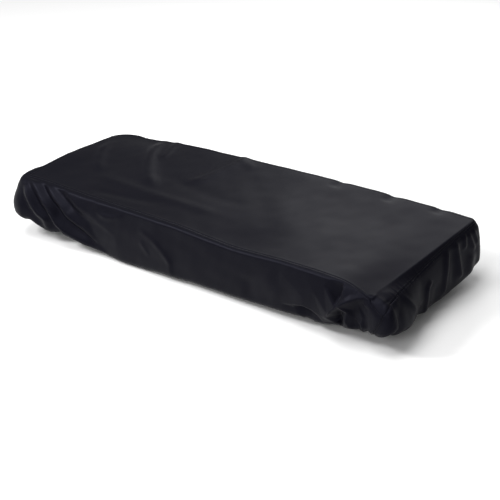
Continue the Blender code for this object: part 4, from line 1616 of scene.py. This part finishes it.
@dataclass(frozen=True)
class SoftBox:
    """A square area light that looks at the cover."""

    name: str
    spot: Triple
    size: float
    power: float
    aim: Triple = (0.10, -0.09, -0.06)

    def place(self) -> None:
        """Hang the light and aim it."""
        lamp = bpy.data.lights.new(self.name, "AREA")
        lamp.size = self.size
        lamp.energy = self.power
        item = add_object(self.name, lamp)
        item.location = self.spot
        ahead = Vector(self.aim) - Vector(self.spot)
        item.rotation_euler = ahead.to_track_quat("-Z", "Y").to_euler()
        item.visible_camera = False


@dataclass(frozen=True)
class Studio:
    """The pale floor, the lights and the camera."""

    target: Triple = (0.0999, -0.0864, -0.0590)
    distance: float = 3.246
    azimuth: float = 43.05
    elevation: float = 27.26
    roll: float = -5.95
    lens: float = 110.88
    sensor: float = 36.0
    furthest: float = 60.0
    floor_half: float = 9.0
    floor_gap: float = 0.0004
    floor_colour: Colour = (0.80, 0.80, 0.80, 1.0)
    floor_roughness: float = 0.9
    floor_gloss: float = 0.1
    sky_colour: Colour = (1.0, 1.0, 1.0, 1.0)
    sky_strength: float = 0.32
    boxes: tuple[SoftBox, ...] = (
        SoftBox("back_light", (-0.45, 1.25, 0.80), 1.0, 9.0),
        SoftBox("overhead_light", (-0.30, -0.40, 3.40), 2.4, 104.0),
        SoftBox("front_left_light", (-1.70, -1.50, 1.90), 0.8, 74.0),
        SoftBox("front_light", (0.95, -2.90, 1.60), 0.9, 30.0),
    )

    def build(self, lowest: float) -> None:
        """Make the studio.

        Args:
            lowest: Height of the lowest cloth.
        """
        self.floor(lowest - self.floor_gap)
        for box in self.boxes:
            box.place()
        world = bpy.data.worlds.new("studio")
        world.use_nodes = True
        set_values(world.node_tree.nodes["Background"],
                   {"Color": self.sky_colour, "Strength": self.sky_strength})
        bpy.context.scene.world = world
        bpy.context.scene.view_settings.view_transform = "Standard"
        self.camera()

    def floor(self, height: float) -> None:
        """Lay the floor.

        Args:
            height: The floor's height.
        """
        signs = ((-1, -1), (1, -1), (1, 1), (-1, 1))
        mesh = bpy.data.meshes.new("floor")
        mesh.from_pydata([(x * self.floor_half, y * self.floor_half, height) for x, y in signs],
                         [], [(0, 1, 2, 3)])
        paint, _ = new_material("pale_floor", {
            "Base Color": self.floor_colour, "Roughness": self.floor_roughness,
            "Specular IOR Level": self.floor_gloss})
        mesh.materials.append(paint)
        add_object("floor", mesh)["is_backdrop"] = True

    def camera(self) -> None:
        """Place the camera, turned about its own line of sight by the roll."""
        azimuth, elevation = math.radians(self.azimuth), math.radians(self.elevation)
        away = Vector((math.cos(elevation) * math.sin(azimuth),
                       -math.cos(elevation) * math.cos(azimuth), math.sin(elevation)))
        lens = bpy.data.cameras.new("camera")
        lens.sensor_width = self.sensor
        lens.lens = self.lens
        lens.clip_end = self.furthest
        item = add_object("camera", lens)
        roll = Matrix.Rotation(math.radians(self.roll), 3, "Z")
        turn = away.to_track_quat("Z", "Y").to_matrix() @ roll
        spot = Vector(self.target) + away * self.distance
        item.matrix_world = Matrix.Translation(spot) @ turn.to_4x4()
        bpy.context.scene.camera = item


@dataclass(frozen=True)
class PianoCover:
    """The whole cover."""

    stitches: Stitching = Stitching()
    top: TopPanel = TopPanel()
    walls: tuple[WallPanel, ...] = (
        WallPanel("front_cloth", "front_panel",
                  Corner.FRONT_LEFT, Corner.FRONT_RIGHT, flat=(1.060, 0.210)),
        WallPanel("right_end_cloth", "right_end_panel",
                  Corner.FRONT_RIGHT, Corner.BACK_RIGHT, flat=(0.370, 0.190)),
        WallPanel("back_cloth", "back_panel",
                  Corner.BACK_RIGHT, Corner.BACK_LEFT, flat=(0.950, 0.190)),
        WallPanel("left_end_cloth", "left_end_panel",
                  Corner.BACK_LEFT, Corner.FRONT_LEFT, flat=(0.380, 0.200)),
    )

    def build(self) -> None:
        """Make each piece in order and report it."""
        cloth = HangingCloth()
        for piece in (self.stitches, self.top, *self.walls):
            made = piece.build(cloth)
            LOG.info("%s: %d faces", made.name, len(made.data.polygons))


def main() -> None:
    """Build the cover and its studio, in order."""
    logging.basicConfig(level=logging.INFO, format="%(name)s %(message)s")
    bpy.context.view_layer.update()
    PianoCover().build()
    Studio().build(lowest=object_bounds()[0][2])


if __name__ == "__main__":
    main()
